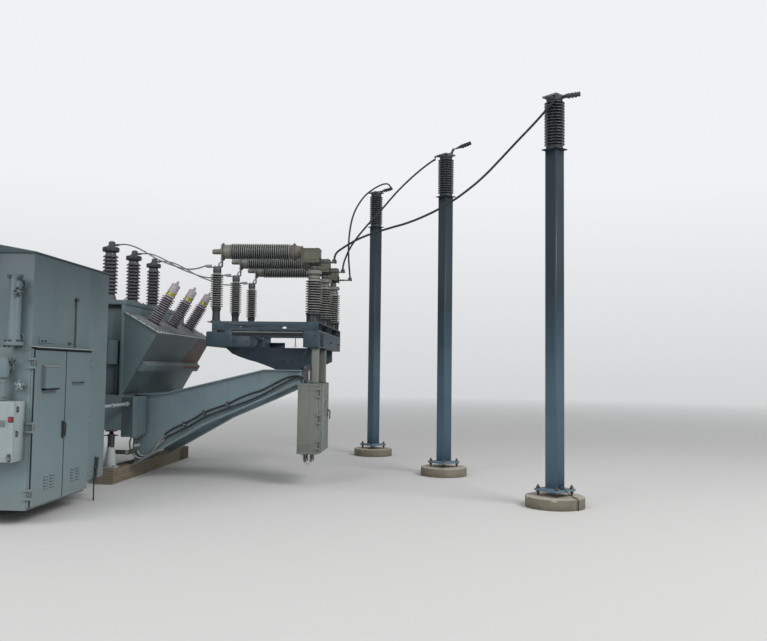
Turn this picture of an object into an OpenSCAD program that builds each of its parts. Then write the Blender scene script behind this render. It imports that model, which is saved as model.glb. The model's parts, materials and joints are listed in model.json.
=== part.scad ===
// Substation switchgear bay: a transportable transformer on a gooseneck base, the
// three-phase circuit switcher that stands on its gooseneck, the control enclosure
// beside it and the row of three square columns that carry the incoming phases.
// +X runs along the transformer towards the columns, +Y away from the front side and
// +Z up. The origin is on the ground under the middle column.

/* [Column row] */
// Distance between neighbouring columns
col_pitch = 2860; // [2400:10:3400]
// Turn of the row of columns from the Y axis
col_row_turn = 25.5; // [18:0.5:32]
// Turn of each column about its own axis
col_turn = 43; // [40:1:50]
// Side of the square column tube
col_side = 166; // [120:2:200]
// Wall of the column tube
col_wall = 10; // [6:1:16]
// Outer radius of the tube's corners
col_corner_r = 20; // [18:1:30]
// Height of the tube's top above ground
col_top_z = 4160; // [3600:10:4600]
// Side of the plate that closes the tube's top
cap_side = 215; // [205:5:260]
// Thickness of that plate
cap_t = 12; // [8:1:20]

/* [Column footing] */
// Diameter of the round concrete pier
pier_d = 680; // [560:10:900]
// Height of the pier above ground
pier_h = 125; // [80:5:250]
// Side of the base plate
base_side = 335; // [300:5:380]
// Thickness of the base plate
base_t = 25; // [16:1:40]
// Air gap between the pier and the base plate, bridged by the anchor bolts
base_gap = 55; // [40:1:90]
// Side of the square of anchor bolts
anchor_square = 270; // [255:5:280]
// Diameter of the anchor bolts
anchor_d = 24; // [16:2:30]
// Length of bolt that stands above the base plate
anchor_proud = 60; // [45:5:90]

/* [Column insulators] */
// Height of the column insulator with its end fittings
col_ins_h = 618; // [500:2:760]
// Diameter over the sheds of the column insulator
col_ins_d = 240; // [200:2:280]
// Number of its sheds
col_ins_sheds = 13; // [9:1:16]
// Side of the square line plate on top
line_plate_side = 205; // [195:5:240]
// Thickness of the line plate
line_plate_t = 20; // [12:1:28]
// Bolt circle of the line plate
line_plate_pcd = 180; // [172:1:190]
// Radius of its bolt holes
line_plate_hole_r = 9; // [6:0.5:11]

/* [Transformer] */
// Middle line of the transformer and of the circuit switcher
unit_y = -240; // [-300:10:-180]
// Width of the base frame, the nose and the switcher frame
unit_w = 2600; // [2500:10:2700]
// Front end of the base frame
deck_front_x = -4302; // [-4350:2:-4250]
// Length of the base frame
deck_len = 2850; // [2750:10:3200]
// Height of the deck above ground
deck_top_z = 1165; // [1100:5:1250]
// Depth of the base frame under its deck plate
deck_depth = 450; // [380:5:500]
// Thickness of the deck plate
deck_plate_t = 15; // [10:1:25]
// Length of the tank
tank_len = 2700; // [2400:10:2720]
// Height of the tank under its cover
tank_h = 1215; // [1150:5:1300]
// Wall of the tank
tank_wall = 12; // [8:1:16]
// Depth of the stiffeners on the tank's walls
rib_depth = 110; // [60:5:140]
// Width of a stiffener
rib_w = 45; // [30:5:70]
// Thickness of the tank's cover
cover_t = 60; // [40:5:80]

/* [Bushing nose] */
// Reach of the nose in front of the tank
nose_reach = 456; // [420:1:560]
// Height of the nose's tip above the deck
nose_tip_h = 835; // [780:5:880]
// Slope of the nose's upper face
nose_slope = 30; // [24:1:34]
// Height of the nose's lower edge above the deck
nose_foot_h = 10; // [5:5:160]
// Spacing of the inclined bushings
bushing_pitch = 806; // [760:2:860]
// Spacing of the arresters
arrester_pitch = 870; // [820:2:940]
// Distance of the arresters behind the tank's front
arrester_back = 390; // [330:5:440]
// Height of the porcelain of an arrester
arrester_h = 570; // [500:5:700]
// Diameter over an arrester's sheds
arrester_d = 212; // [180:2:230]
// Length of the porcelain of an inclined bushing
bushing_h = 420; // [340:5:460]
// Diameter over an inclined bushing's sheds
bushing_d = 168; // [140:2:200]

/* [Gooseneck] */
// Distance between the outer faces of the two gooseneck beams
neck_w = 1760; // [1700:10:1800]
// Length of the level heel at the base frame
neck_heel = 433; // [350:5:520]
// Length of the rising part
neck_rise = 1367; // [1200:5:1500]
// Length of the level end
neck_level = 520; // [450:5:700]
// Height of the level end's top above ground
neck_top_z = 1530; // [1480:5:1600]
// Depth of the beam at its tip
neck_tip_depth = 170; // [130:5:220]
// Width of the beams' lower flanges
neck_flange_w = 200; // [140:5:240]
// Thickness of the flanges and webs
neck_plate_t = 16; // [10:1:22]
// Height of the saddle plates between the beams and the switcher frame
saddle_h = 300; // [260:5:360]

/* [Circuit switcher] */
// Length of the switcher frame
frame_len = 1507; // [1450:1:1600]
// Overhang of the frame past the beam tips
frame_overhang = 292; // [200:2:340]
// Height of the lower cross boxes
cross_h = 215; // [180:5:260]
// Height of the rails and post beams on them
rail_h = 120; // [100:5:160]
// Spacing of the phases
phase_pitch = 1067; // [1000:1:1100]
// Height of an interrupter's axis above the frame
inter_axis_h = 960; // [920:5:1020]
// Diameter over the interrupter's sheds
inter_d = 223; // [200:1:240]
// Diameter over the slim post's sheds
slim_post_d = 176; // [150:2:200]
// Diameter over the thick post's sheds
thick_post_d = 230; // [200:2:250]

/* [Control enclosure] */
// Front end face of the enclosure
encl_face_x = -4090; // [-4140:2:-4050]
// Near side wall of the enclosure
encl_near_y = -4420; // [-4480:5:-4380]
// Width of the enclosure
encl_w = 1820; // [1700:10:1900]
// Length of the enclosure
encl_len = 2600; // [2200:10:3200]
// Height of its eaves above ground
encl_eave_z = 2650; // [2500:10:2800]
// Height of the enclosure's floor above ground
encl_floor_z = 250; // [220:5:320]
// Rise of the roof from the end face to its ridge
roof_rise = 250; // [150:5:350]
// Sheet thickness of the enclosure's walls
encl_wall = 6; // [4:1:12]

/* [Control cabinet] */
// Width of the two-door cabinet
cab_w = 1290; // [1200:5:1330]
// Height of the cabinet
cab_h = 1575; // [1450:5:1650]
// Depth of the cabinet
cab_depth = 600; // [400:5:700]
// Height of its floor above ground
cab_floor_z = 150; // [100:5:200]
// Sheet thickness of the cabinet and its doors
cab_sheet = 4; // [3:1:6]
// Thickness of the folded doors
door_t = 38; // [25:1:50]

/* [Hanging cabinet] */
// Width of the cabinet that hangs from the switcher frame
hang_w = 275; // [230:5:340]
// Length of the hanging cabinet
hang_len = 850; // [700:5:950]
// Height of the hanging cabinet
hang_h = 920; // [800:5:980]
// Height of its floor above ground
hang_z = 430; // [380:5:480]

/* [Cribbing and jacks] */
// Height of the cribbing timbers
crib_h = 200; // [150:5:240]
// Width of a timber
crib_w = 220; // [180:5:260]
// Length of the long timber of a row
crib_len = 2800; // [2700:10:3000]
// Length of the short timber that follows it
crib_tail = 480; // [300:10:600]
// Diameter of a jack's tube
jack_d = 90; // [70:2:110]

/* [Hidden] */
$fn = 40;
eps = 0.01;

// Points of the column row, nearest first
function column_at(i) = [-i * col_pitch * sin(col_row_turn), i * col_pitch * cos(col_row_turn), 0];
column_rows = [-1, 0, 1];
base_z = pier_h + base_gap;
tube_z = base_z + base_t;
cap_z = col_top_z;
ins_z = cap_z + cap_t;
line_plate_z = ins_z + col_ins_h;
line_top_z = line_plate_z + line_plate_t;

unit_near_y = unit_y - unit_w / 2;
unit_far_y = unit_y + unit_w / 2;
deck_rear_x = deck_front_x - deck_len;
tank_front_x = deck_front_x;
tank_rear_x = tank_front_x - tank_len;
tank_near_y = unit_near_y + rib_depth;
tank_w = unit_w - 2 * rib_depth;
cover_z = deck_top_z + tank_h;
cover_top_z = cover_z + cover_t;
arrester_x = tank_front_x - arrester_back;
nose_tip_z = deck_top_z + nose_tip_h;
nose_top_z = nose_tip_z + nose_reach * tan(nose_slope);
bushing_lanes = [for (i = [-1:1]) unit_y + i * bushing_pitch];
arrester_lanes = [for (i = [-1:1]) unit_y + i * arrester_pitch];
phase_lanes = [for (i = [-1:1]) unit_y + i * phase_pitch];

heel_end_x = deck_front_x + neck_heel;
level_start_x = heel_end_x + neck_rise;
neck_tip_x = level_start_x + neck_level;
neck_lanes = [unit_y - neck_w / 2 + neck_flange_w / 2, unit_y + neck_w / 2 - neck_flange_w / 2];

frame_right_x = neck_tip_x + frame_overhang;
frame_left_x = frame_right_x - frame_len;
frame_z = neck_top_z + saddle_h;
rail_z = frame_z + cross_h;
frame_top_z = rail_z + rail_h;
left_box_x = [frame_left_x + 10, frame_left_x + 360];
left_box_top_z = rail_z - 27;
pad_x = [[frame_left_x + 85, frame_left_x + 150], [frame_left_x + 257, frame_left_x + 360]];
bar_z = [rail_z - 80, rail_z - 12];
rail_w = 70;
slot_size = [52, 26];
right_box_w = 200;
post_beam_w = 150;
slim_x = frame_left_x + post_beam_w / 2;
thick_x = frame_right_x - right_box_w / 2;
inter_z = frame_top_z + inter_axis_h;

cab_top_z = cab_floor_z + cab_h;
cab_back_x = encl_face_x - cab_depth;
cab_far_y = encl_near_y + cab_w;
encl_far_y = encl_near_y + encl_w;
encl_rear_x = encl_face_x - encl_len;

// Basic shapes

module block(x, y, z) {
    translate([x[0], y[0], z[0]]) cube([x[1] - x[0], y[1] - y[0], z[1] - z[0]]);
}

module turned_square(at, side, z, t) {
    translate([at[0], at[1], z]) rotate(col_turn) translate([-side / 2, -side / 2, 0])
        cube([side, side, t]);
}

// Square on its middle, with rounded corners
module rounded_square(side, r) {
    square([side, side - 2 * r], center = true);
    square([side - 2 * r, side], center = true);
    for (sx = [-1, 1], sy = [-1, 1]) translate([sx, sy] * (side / 2 - r)) circle(r, $fn = 32);
}

// Side view drawn in X and Z, given its thickness from y to y + t
module side_plate(points, y, t) {
    translate([0, y + t, 0]) rotate([90, 0, 0]) linear_extrude(height = t) polygon(points);
}

module rod(from, to, d) {
    span = to - from;
    reach = norm(span);
    turn_y = acos(span[2] / reach);
    turn_z = atan2(span[1], span[0]);
    translate(from) rotate([0, turn_y, turn_z]) cylinder(d = d, h = reach);
}

// Porcelain with evenly spaced sheds on a straight core, standing on z = 0
module porcelain(h, core_d, shed_d, sheds, end = 18) {
    pitch = (h - 2 * end) / sheds;
    edge = pitch * 0.14;
    rc = core_d / 2;
    rs = shed_d / 2;
    outline = [for (i = [0:sheds - 1]) let (z = end + i * pitch) each [
        [rc, z + pitch * 0.16], [rs - edge, z + pitch * 0.22],
        [rs, z + pitch * 0.22 + edge], [rs - edge, z + pitch * 0.22 + 2 * edge],
        [rc, z + pitch * 0.9]]];
    rotate_extrude() polygon(concat([[0, 0], [rc, 0]], outline, [[rc, h], [0, h]]));
}

// A ring of bolt heads on a flange whose top is at z = 0, left out within blind
// degrees of the -X side
module bolt_ring(pcd, n, head, blind = 0) {
    for (i = [0:n - 1]) let (turn = (i + 0.5) * 360 / n) if (abs(turn - 180) > blind)
        rotate(turn) translate([pcd / 2, 0, -eps]) cylinder(d = head, h = head * 0.6 + eps, $fn = 6);
}

// Round conductor swept along points that lie in one vertical plane
function plan_normal(a, b) = let (v = [b[0] - a[0], b[1] - a[1], 0]) [-v[1], v[0], 0] / norm(v);
function tangent(pts, i) = let (a = pts[max(i - 1, 0)], b = pts[min(i + 1, len(pts) - 1)])
    (b - a) / norm(b - a);
module conductor(pts, d, side, sides = 8) {
    n = len(pts);
    rings = [for (i = [0:n - 1]) let (t = tangent(pts, i), up = cross(side, t))
        for (k = [0:sides - 1]) pts[i] + d / 2 * (cos(360 * k / sides) * side + sin(360 * k / sides) * up)];
    walls = [for (i = [0:n - 2]) for (k = [0:sides - 1]) let (j = (k + 1) % sides)
        [i * sides + k, i * sides + j, (i + 1) * sides + j, (i + 1) * sides + k]];
    start = [for (k = [0:sides - 1]) sides - 1 - k];
    finish = [for (k = [0:sides - 1]) (n - 1) * sides + k];
    polyhedron(points = rings, faces = concat([start], walls, [finish]));
}

// Columns

module concrete_piers() {
    color("#9c948a") for (i = column_rows) translate(column_at(i))
        rotate_extrude() polygon([[0, 0], [pier_d / 2, 0], [pier_d / 2, pier_h - 12],
            [pier_d / 2 - 12, pier_h], [0, pier_h]]);
}

module column_tubes() {
    color("#5f7f8e") for (i = column_rows) translate(column_at(i) + [0, 0, tube_z]) rotate(col_turn)
        linear_extrude(height = col_top_z - tube_z) difference() {
            rounded_square(col_side, col_corner_r);
            rounded_square(col_side - 2 * col_wall, col_corner_r - col_wall);
        }
}

function anchor_corners() = [for (sx = [-1, 1], sy = [-1, 1]) [sx, sy] * anchor_square / 2];

module column_base_plates() {
    color("#5a7886") for (i = column_rows) difference() {
        turned_square(column_at(i), base_side, base_z, base_t);
        translate(column_at(i)) rotate(col_turn) for (p = anchor_corners())
            translate([p[0], p[1], base_z - 1]) cylinder(d = anchor_d + 4, h = base_t + 2);
    }
}

module anchor_bolts() {
    nut = anchor_d * 1.6;
    color("#6b5f57") for (i = column_rows) translate(column_at(i)) rotate(col_turn)
        for (p = anchor_corners()) translate([p[0], p[1], 0]) {
            translate([0, 0, pier_h]) cylinder(d = anchor_d, h = base_gap + base_t + anchor_proud);
            translate([0, 0, base_z - anchor_d * 0.8]) cylinder(d = nut, h = anchor_d * 0.8, $fn = 6);
            translate([0, 0, tube_z]) cylinder(d = nut, h = anchor_d * 0.9, $fn = 6);
        }
}

ground_turn = -52;
ground_d = 12;
ground_run = [[122, 217], [150, 216], [176, 209], [192, 188], [205, 162], [226, 142], [262, 133],
    [305, 132], [334, 132], [349, 118], [353, 92], [353, 60], [352, 30], [352, 0]];

// Ground lead of the near column, and the one that runs down the enclosure's end face
module ground_leads() {
    across = [cos(ground_turn), sin(ground_turn), 0];
    color("#33383a") {
        conductor([for (p = ground_run) column_at(-1) + p[0] * across + [0, 0, p[1]]], ground_d,
            plan_normal([0, 0, 0], across));
        translate(column_at(-1) + [0, 0, tube_z]) rotate(ground_turn) {
            block([90, 136], [-13, 13], [seat_gap, 8]);
            translate([104, 0, 8 - eps]) cylinder(d = 18, h = 10, $fn = 6);
        }
        translate([encl_face_x, cab_far_y, 0]) {
            block([seat_gap, 8], [271, 303], [470, 505]);
            conductor([[10, 287, 500], [10, 286, 440], [10, 270, 300], [10, 262, 240], [10, 258, 120],
                [10, 258, 0]], 16, [1, 0, 0]);
        }
    }
}

module column_cap_plates() {
    color("#5a7886") for (i = column_rows) turned_square(column_at(i), cap_side, cap_z, cap_t);
}

module column_insulators() {
    foot = 62;
    color("#5b636b") for (i = column_rows) translate(column_at(i) + [0, 0, ins_z]) {
        rotate_extrude() polygon([[0, 0], [92, 0], [92, 16], [66, 24], [58, foot], [0, foot]]);
        translate([0, 0, foot]) porcelain(col_ins_h - 2 * foot, 124, col_ins_d, col_ins_sheds, 10);
        translate([0, 0, col_ins_h - foot]) rotate_extrude()
            polygon([[0, 0], [58, 0], [66, foot - 18], [74, foot - 8], [74, foot], [0, foot]]);
    }
}

module line_plates() {
    color("#6f7679") for (i = column_rows) difference() {
        turned_square(column_at(i), line_plate_side, line_plate_z, line_plate_t);
        translate(column_at(i)) rotate(col_turn) for (k = [0:3]) rotate(45 + k * 90)
            translate([line_plate_pcd / 2, 0, line_plate_z - 1])
                cylinder(r = line_plate_hole_r, h = line_plate_t + 2);
    }
}

clamp_reach = 300;
clamp_turn = -25;
lug_turns = [-90, 180];
lug_reach = 176;

// Strain clamp of the line on each plate, and a lug for the jumper under two of them
module strain_clamps() {
    lug_w = 44;
    color("#5c5f60") for (k = [0, 1]) translate(column_at(k - 1) + [0, 0, line_plate_z])
        rotate(lug_turns[k])
            block([line_plate_side / 2, lug_reach], [-lug_w / 2, lug_w / 2], [-70, 0]);
    color("#5c5f60") for (i = column_rows) translate(column_at(i) + [0, 0, line_top_z])
        rotate(clamp_turn) {
            block([-30, 60], [-34, 34], [0, 16]);
            block([20, 60], [-9, 9], [0, 62]);
            rod([56, 0, 40], [130, 0, 46], 22);
            rod([124, 0, 46], [clamp_reach, 0, 62], 46);
        }
}

// Jumpers, each as distance from the switcher terminal and height above ground
jumper_d = 28;
terminal_x = frame_right_x + 170;
terminal_socket_h = 40;
terminal_bar_t = 14;
terminal_bar_z = frame_top_z + inter_axis_h - 149;
terminal_z = terminal_bar_z + terminal_bar_t + terminal_socket_h;
jumper_1_run = [[0, 3030], [8, 3070], [40, 3118], [110, 3160], [210, 3208], [340, 3262],
    [500, 3310], [690, 3352], [900, 3390], [1120, 3428], [1340, 3485], [1560, 3560],
    [1780, 3657], [1990, 3775], [2190, 3912], [2400, 4090], [2620, 4285], [2850, 4485], [3098, 4724]];
jumper_2_run = [[0, 3030], [4, 3080], [18, 3140], [42, 3210], [75, 3290], [115, 3370],
    [165, 3450], [225, 3535], [300, 3630], [390, 3740], [490, 3855], [590, 3970], [700, 4105],
    [820, 4245], [950, 4380], [1090, 4515], [1230, 4635], [1364, 4738]];
jumper_3_run = [[0, 3030], [-18, 3110], [-42, 3220], [-62, 3340], [-72, 3460], [-68, 3580],
    [-50, 3710], [-15, 3840], [40, 3970], [115, 4090], [215, 4205], [330, 4310], [470, 4420],
    [640, 4530], [840, 4635], [1050, 4735], [1270, 4825], [1460, 4885], [1600, 4908], [1722, 4882]];
jumper_runs = [jumper_1_run, jumper_2_run, jumper_3_run];
jumper_tops = [column_at(-1) + lug_reach * [0, -1, 0], column_at(0) + lug_reach * [-1, 0, 0],
    column_at(1) + clamp_reach * [cos(clamp_turn), sin(clamp_turn), 0]];

function terminal_at(k) = [terminal_x, phase_lanes[k], terminal_z];
function jumper_points(k) = let (a = terminal_at(k), b = jumper_tops[k],
    v = [b[0] - a[0], b[1] - a[1]] / norm([b[0] - a[0], b[1] - a[1]]))
    [for (p = jumper_runs[k]) [a[0] + v[0] * p[0], a[1] + v[1] * p[0], p[1]]];

module jumper(k) {
    color("#2b2d2f") conductor(jumper_points(k), jumper_d, plan_normal(terminal_at(k), jumper_tops[k]));
}

// Control enclosure

module wall_shell(x, y, z, wall) {
    difference() {
        block(x, y, z);
        block([x[0] + wall, x[1] - wall], [y[0] + wall, y[1] - wall], [z[0] + wall, z[1] + 1]);
    }
}

module enclosure_body() {
    color("#68787d") wall_shell([encl_rear_x, cab_back_x], [encl_near_y, encl_far_y],
        [encl_floor_z, encl_eave_z], encl_wall);
}

module enclosure_upper_bay() {
    color("#68787d") difference() {
        block([cab_back_x, encl_face_x], [encl_near_y, cab_far_y], [cab_top_z, encl_eave_z]);
        block([cab_back_x - 1, encl_face_x - encl_wall], [encl_near_y + encl_wall, cab_far_y - encl_wall],
            [cab_top_z + encl_wall, encl_eave_z + 1]);
    }
}

module enclosure_side_bay() {
    color("#68787d") difference() {
        block([cab_back_x, encl_face_x], [cab_far_y, encl_far_y], [encl_floor_z, encl_eave_z]);
        block([cab_back_x - 1, encl_face_x - encl_wall], [cab_far_y + encl_wall, encl_far_y - encl_wall],
            [encl_floor_z + encl_wall, encl_eave_z + 1]);
    }
}

module enclosure_roof() {
    ridge_x = (encl_rear_x + encl_face_x) / 2;
    lip = 12;
    color("#6b7b80") side_plate([[encl_rear_x - lip, encl_eave_z], [encl_face_x + lip, encl_eave_z],
        [encl_face_x + lip, encl_eave_z + 14], [ridge_x, encl_eave_z + roof_rise],
        [encl_rear_x - lip, encl_eave_z + 14]], encl_near_y - lip, encl_w + 2 * lip);
}

module enclosure_skids() {
    inset = 250;
    skid_w = 160;
    color("#3f4a4e") for (y = [encl_near_y + inset, encl_far_y - inset - skid_w])
        difference() {
            block([encl_rear_x + 60, cab_back_x - 40], [y, y + skid_w], [0, encl_floor_z]);
            for (side = [0, 1]) block([encl_rear_x, cab_back_x],
                [y + side * (skid_w / 2 + 6) - 1, y + side * (skid_w / 2 + 6) + skid_w / 2 - 5],
                [14, encl_floor_z - 14]);
        }
}

// Cast valve on a wall stub that points to -Y, with a handwheel
module wall_valve(x, z, body, wall_y) {
    translate([x, wall_y, z]) rotate([90, 0, 0]) {
        cylinder(d = body * 1.7, h = 18);
        cylinder(d = body, h = body * 1.6);
        translate([0, 0, body * 1.6 - 16]) cylinder(d = body * 1.5, h = 16);
    }
}

module enclosure_pipework() {
    y = encl_near_y;
    pipe_y = y - 92;
    stand_x = encl_face_x - 115;
    stand_z = [cab_top_z + 20, encl_eave_z - 450];
    drain_x = encl_face_x - 222;
    drain_z = cab_top_z - 305;
    relay_top_z = relay_z + relay_h;
    color("#7b898c") {
        wall_valve(stand_x, stand_z[1] + 130, 90, y);
        translate([stand_x, pipe_y, stand_z[1]]) cylinder(d = 160, h = 245);
        translate([stand_x, pipe_y, stand_z[0]]) cylinder(d = 128, h = stand_z[1] - stand_z[0] + 5);
        translate([stand_x, pipe_y, stand_z[0] - 10]) cylinder(d = 180, h = 22);
        wall_valve(stand_x, stand_z[0] + 65, 80, y);
        wall_valve(drain_x, drain_z + 105, 74, y);
        translate([drain_x, pipe_y, drain_z]) cylinder(d = 104, h = 210);
        translate([drain_x, pipe_y, relay_top_z]) cylinder(d = 60, h = drain_z + 1 - relay_top_z);
        wall_valve(encl_face_x - 80, drain_z - 67, 46, y);
    }
    gland_y = encl_near_y + 955;
    gland_z = [cab_top_z + drip_h + 0.3, cab_top_z + 540];
    color("#3a4144") {
        translate([encl_face_x + 16, gland_y, gland_z[0]]) cylinder(d = 24, h = gland_z[1] - gland_z[0]);
        block([encl_face_x, encl_face_x + 30], [gland_y - 26, gland_y + 26],
            [gland_z[1] - 15, gland_z[1] + 20]);
    }
}

// Two-door cabinet sunk in the enclosure's corner

cab_lip = 40;
door_face_x = encl_face_x + 3 + door_t;
hinge_out = 12;
hinge_r = 7;
hinge_h = 56;
door_low_z = cab_floor_z + 30;
door_high_z = cab_top_z - 14;
left_hinge_y = encl_near_y - 8;
right_hinge_y = cab_far_y + 8;
seam_y = encl_near_y + 0.522 * cab_w;
hinge_levels = [door_low_z + 124, (door_low_z + door_high_z) / 2, door_high_z - 142];

module control_cabinet() {
    color("#6a7a7f") difference() {
        block([cab_back_x, encl_face_x], [encl_near_y, cab_far_y], [cab_floor_z, cab_top_z]);
        block([cab_back_x + cab_sheet, encl_face_x - cab_sheet],
            [encl_near_y + cab_sheet, cab_far_y - cab_sheet],
            [cab_floor_z + cab_sheet, cab_top_z - cab_sheet]);
        block([encl_face_x - 10, encl_face_x + 1], [encl_near_y + cab_lip, cab_far_y - cab_lip],
            [cab_floor_z + cab_lip, cab_top_z - cab_lip]);
    }
    color("#7d8a8d") for (z = hinge_levels) {
        side_knuckles(left_hinge_y, z);
        face_knuckles(right_hinge_y, z);
    }
}

// Heights at which the two outer knuckles of a hinge start
knuckle_h = 24.7;
function knuckle_lows(z) = [z - hinge_h / 2 - 25, z + hinge_h / 2 + 0.3];

// Outer knuckles whose leaves wrap onto the cabinet's side wall
module side_knuckles(y, z) {
    for (low = knuckle_lows(z)) {
        zs = [low, low + knuckle_h];
        translate([door_face_x, y, low]) cylinder(r = hinge_r, h = knuckle_h);
        block([encl_face_x - 30, door_face_x], [y - hinge_r, y - hinge_r + 4], zs);
        block([encl_face_x - 30, encl_face_x], [y - hinge_r, encl_near_y], zs);
    }
}

// Outer knuckles whose leaves stand on the enclosure's end face
module face_knuckles(y, z) {
    for (low = knuckle_lows(z)) {
        translate([door_face_x, y, low]) cylinder(r = hinge_r, h = knuckle_h);
        block([encl_face_x, door_face_x], [y + hinge_r - 4, y + hinge_r], [low, low + knuckle_h]);
    }
}

drip_h = 26;
module drip_edge() {
    color("#c9cfd0") side_plate([[encl_face_x, cab_top_z - 4], [encl_face_x + 62, cab_top_z - 4],
        [encl_face_x + 62, cab_top_z + 6], [encl_face_x, cab_top_z + drip_h]],
        encl_near_y - 10, cab_w + 30);
}

// Folded sheet door standing on y from low to high, open at its back
module pan_door(x, y, z, sheet, depth) {
    difference() {
        block([x - depth, x], y, z);
        block([x - depth - 1, x - sheet], [y[0] + sheet, y[1] - sheet], [z[0] + sheet, z[1] - sheet]);
    }
}

module door_knuckle(x, y, edge_y, z, h) {
    translate([x, y, z - h / 2]) cylinder(r = hinge_r, h = h);
    block([x - 4, x], [min(y, edge_y), max(y, edge_y)], [z - h / 2, z + h / 2]);
}

// Louvres pressed out of a door's face, sloped on top: two columns of five
louvre_w = 100;
louvre_h = 20;
louvre_reach = 11;
louvre_step = [130, 30];
module louvre_rows(y, z) {
    x = door_face_x;
    for (c = [0, 1], r = [0:4]) let (low = z + r * louvre_step[1])
        side_plate([[x - eps, low], [x + louvre_reach, low], [x + louvre_reach, low + 3],
            [x - eps, low + louvre_h]], y + c * louvre_step[0], louvre_w);
}

// Sloped hood over a ventilator, from low to high and drop lower at its lip
module door_hood(y, w, low, high, drop, reach) {
    side_plate([[door_face_x - eps, low], [door_face_x + reach, low],
        [door_face_x + reach, high - drop], [door_face_x - eps, high]], y, w);
}

louvre_low_z = door_low_z + 138;
handle_z = door_low_z + 0.403 * (door_high_z - door_low_z);

module control_door_left() {
    y0 = left_hinge_y + hinge_out;
    y1 = seam_y - 3;
    color("#6c7c81") {
        pan_door(door_face_x, [y0, y1], [door_low_z, door_high_z], cab_sheet, door_t);
        for (z = hinge_levels) door_knuckle(door_face_x, left_hinge_y, y0, z, hinge_h);
        door_hood(y0 + 66, 350, door_high_z - 399, door_high_z - 151, 30, 40);
        louvre_rows(y0 + 257, louvre_low_z);
    }
    color("#232628") {
        block([door_face_x - eps, door_face_x + 14], [y1 - 62, y1 - 22], [handle_z, handle_z + 180]);
        block([door_face_x + 14 - eps, door_face_x + 40], [y1 - 52, y1 - 32],
            [handle_z + 15, handle_z + 105]);
    }
}

module control_door_right() {
    y0 = seam_y + 3;
    y1 = right_hinge_y - hinge_out;
    color("#6c7c81") {
        pan_door(door_face_x, [y0, y1], [door_low_z, door_high_z], cab_sheet, door_t);
        for (z = hinge_levels) door_knuckle(door_face_x, right_hinge_y, y1, z, hinge_h);
        door_hood(y0 + 144, 286, door_high_z - 381, door_high_z - 324, 8, 18);
        louvre_rows(y0 + 182, louvre_low_z);
    }
}

// Small control box on the near side wall, its door hinged at its left edge
relay_w = 460;
relay_h = 571;
relay_depth = 180;
relay_right_x = encl_face_x - 45;
relay_left_x = relay_right_x - relay_w;
relay_z = 632;
relay_face_y = encl_near_y - relay_depth;
relay_hinge_x = relay_left_x - hinge_out;
relay_door_y = relay_face_y - 3 - 22;

module relay_box() {
    color("#b7bfc2") {
        difference() {
            block([relay_left_x, relay_right_x], [relay_face_y, encl_near_y], [relay_z, relay_z + relay_h]);
            block([relay_left_x + 3, relay_right_x - 3], [relay_face_y - 1, encl_near_y - 3],
                [relay_z + 3, relay_z + relay_h - 3]);
        }
        for (z = [relay_z + 90, relay_z + relay_h - 90], end = [-1, 1]) {
            low = end < 0 ? z - 30 - 25 : z + 30 + 0.3;
            translate([relay_hinge_x, relay_door_y, low]) cylinder(r = hinge_r, h = 24.7);
            block([relay_hinge_x - hinge_r, relay_hinge_x - hinge_r + 4], [relay_door_y, relay_face_y + 30],
                [low, low + 24.7]);
            block([relay_hinge_x - hinge_r, relay_left_x], [relay_face_y + 10, relay_face_y + 30],
                [low, low + 24.7]);
        }
    }
}

module relay_box_door() {
    color("#bdc5c8") difference() {
        block([relay_left_x, relay_right_x], [relay_door_y, relay_face_y - 3],
            [relay_z, relay_z + relay_h]);
        block([relay_left_x + 3, relay_right_x - 3], [relay_door_y + 3, relay_face_y],
            [relay_z + 3, relay_z + relay_h - 3]);
    }
    color("#bdc5c8") for (z = [relay_z + 90, relay_z + relay_h - 90]) {
        translate([relay_hinge_x, relay_door_y, z - 30]) cylinder(r = hinge_r, h = 60);
        block([relay_hinge_x, relay_left_x + 1], [relay_door_y, relay_door_y + 4], [z - 30, z + 30]);
    }
}

// Base frame of the transformer

module channel_x(x, y, z, open_to, t) {
    inner = open_to > 0 ? [y[0] + t, y[1] + 1] : [y[0] - 1, y[1] - t];
    difference() {
        block(x, y, z);
        block([x[0] - 1, x[1] + 1], inner, [z[0] + t, z[1] - t]);
    }
}

sill_w = 120;
deck_under_z = deck_top_z - deck_plate_t;
deck_low_z = deck_under_z - deck_depth;

module deck_sills() {
    color("#5f7179") {
        channel_x([deck_rear_x, deck_front_x], [unit_near_y, unit_near_y + sill_w],
            [deck_low_z, deck_under_z], 1, 14);
        channel_x([deck_rear_x, deck_front_x], [unit_far_y - sill_w, unit_far_y],
            [deck_low_z, deck_under_z], -1, 14);
    }
}

module deck_cross_members() {
    places = [deck_rear_x, deck_rear_x + deck_len / 3, deck_rear_x + 2 * deck_len / 3, deck_front_x - 40];
    color("#5f7179") for (x = places)
        block([x, x + 40], [unit_near_y + sill_w, unit_far_y - sill_w], [deck_low_z, deck_under_z]);
}

module deck_plate() {
    color("#66787f") block([deck_rear_x, deck_front_x], [unit_near_y, unit_far_y],
        [deck_under_z, deck_top_z]);
}

// Tank with its nose

module transformer_tank() {
    color("#64757b") wall_shell([tank_rear_x, tank_front_x], [tank_near_y, tank_near_y + tank_w],
        [deck_top_z, cover_z], tank_wall);
}

rib_count = 5;
module tank_stiffeners() {
    rib_gap = (tank_len - rib_w) / (rib_count - 1);
    color("#6d7f85") for (i = [0:rib_count - 1]) {
        x = tank_rear_x + i * rib_gap;
        block([x, x + rib_w], [unit_near_y, tank_near_y], [deck_top_z, cover_z]);
        block([x, x + rib_w], [tank_near_y + tank_w, unit_far_y], [deck_top_z, cover_z]);
    }
}

module tank_cover() {
    color("#6d7f85") block([tank_rear_x - 30, tank_front_x + 12], [unit_near_y + 20, unit_far_y - 20],
        [cover_z, cover_top_z]);
}

rim_t = 14;
rim_lip = 18;

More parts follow.
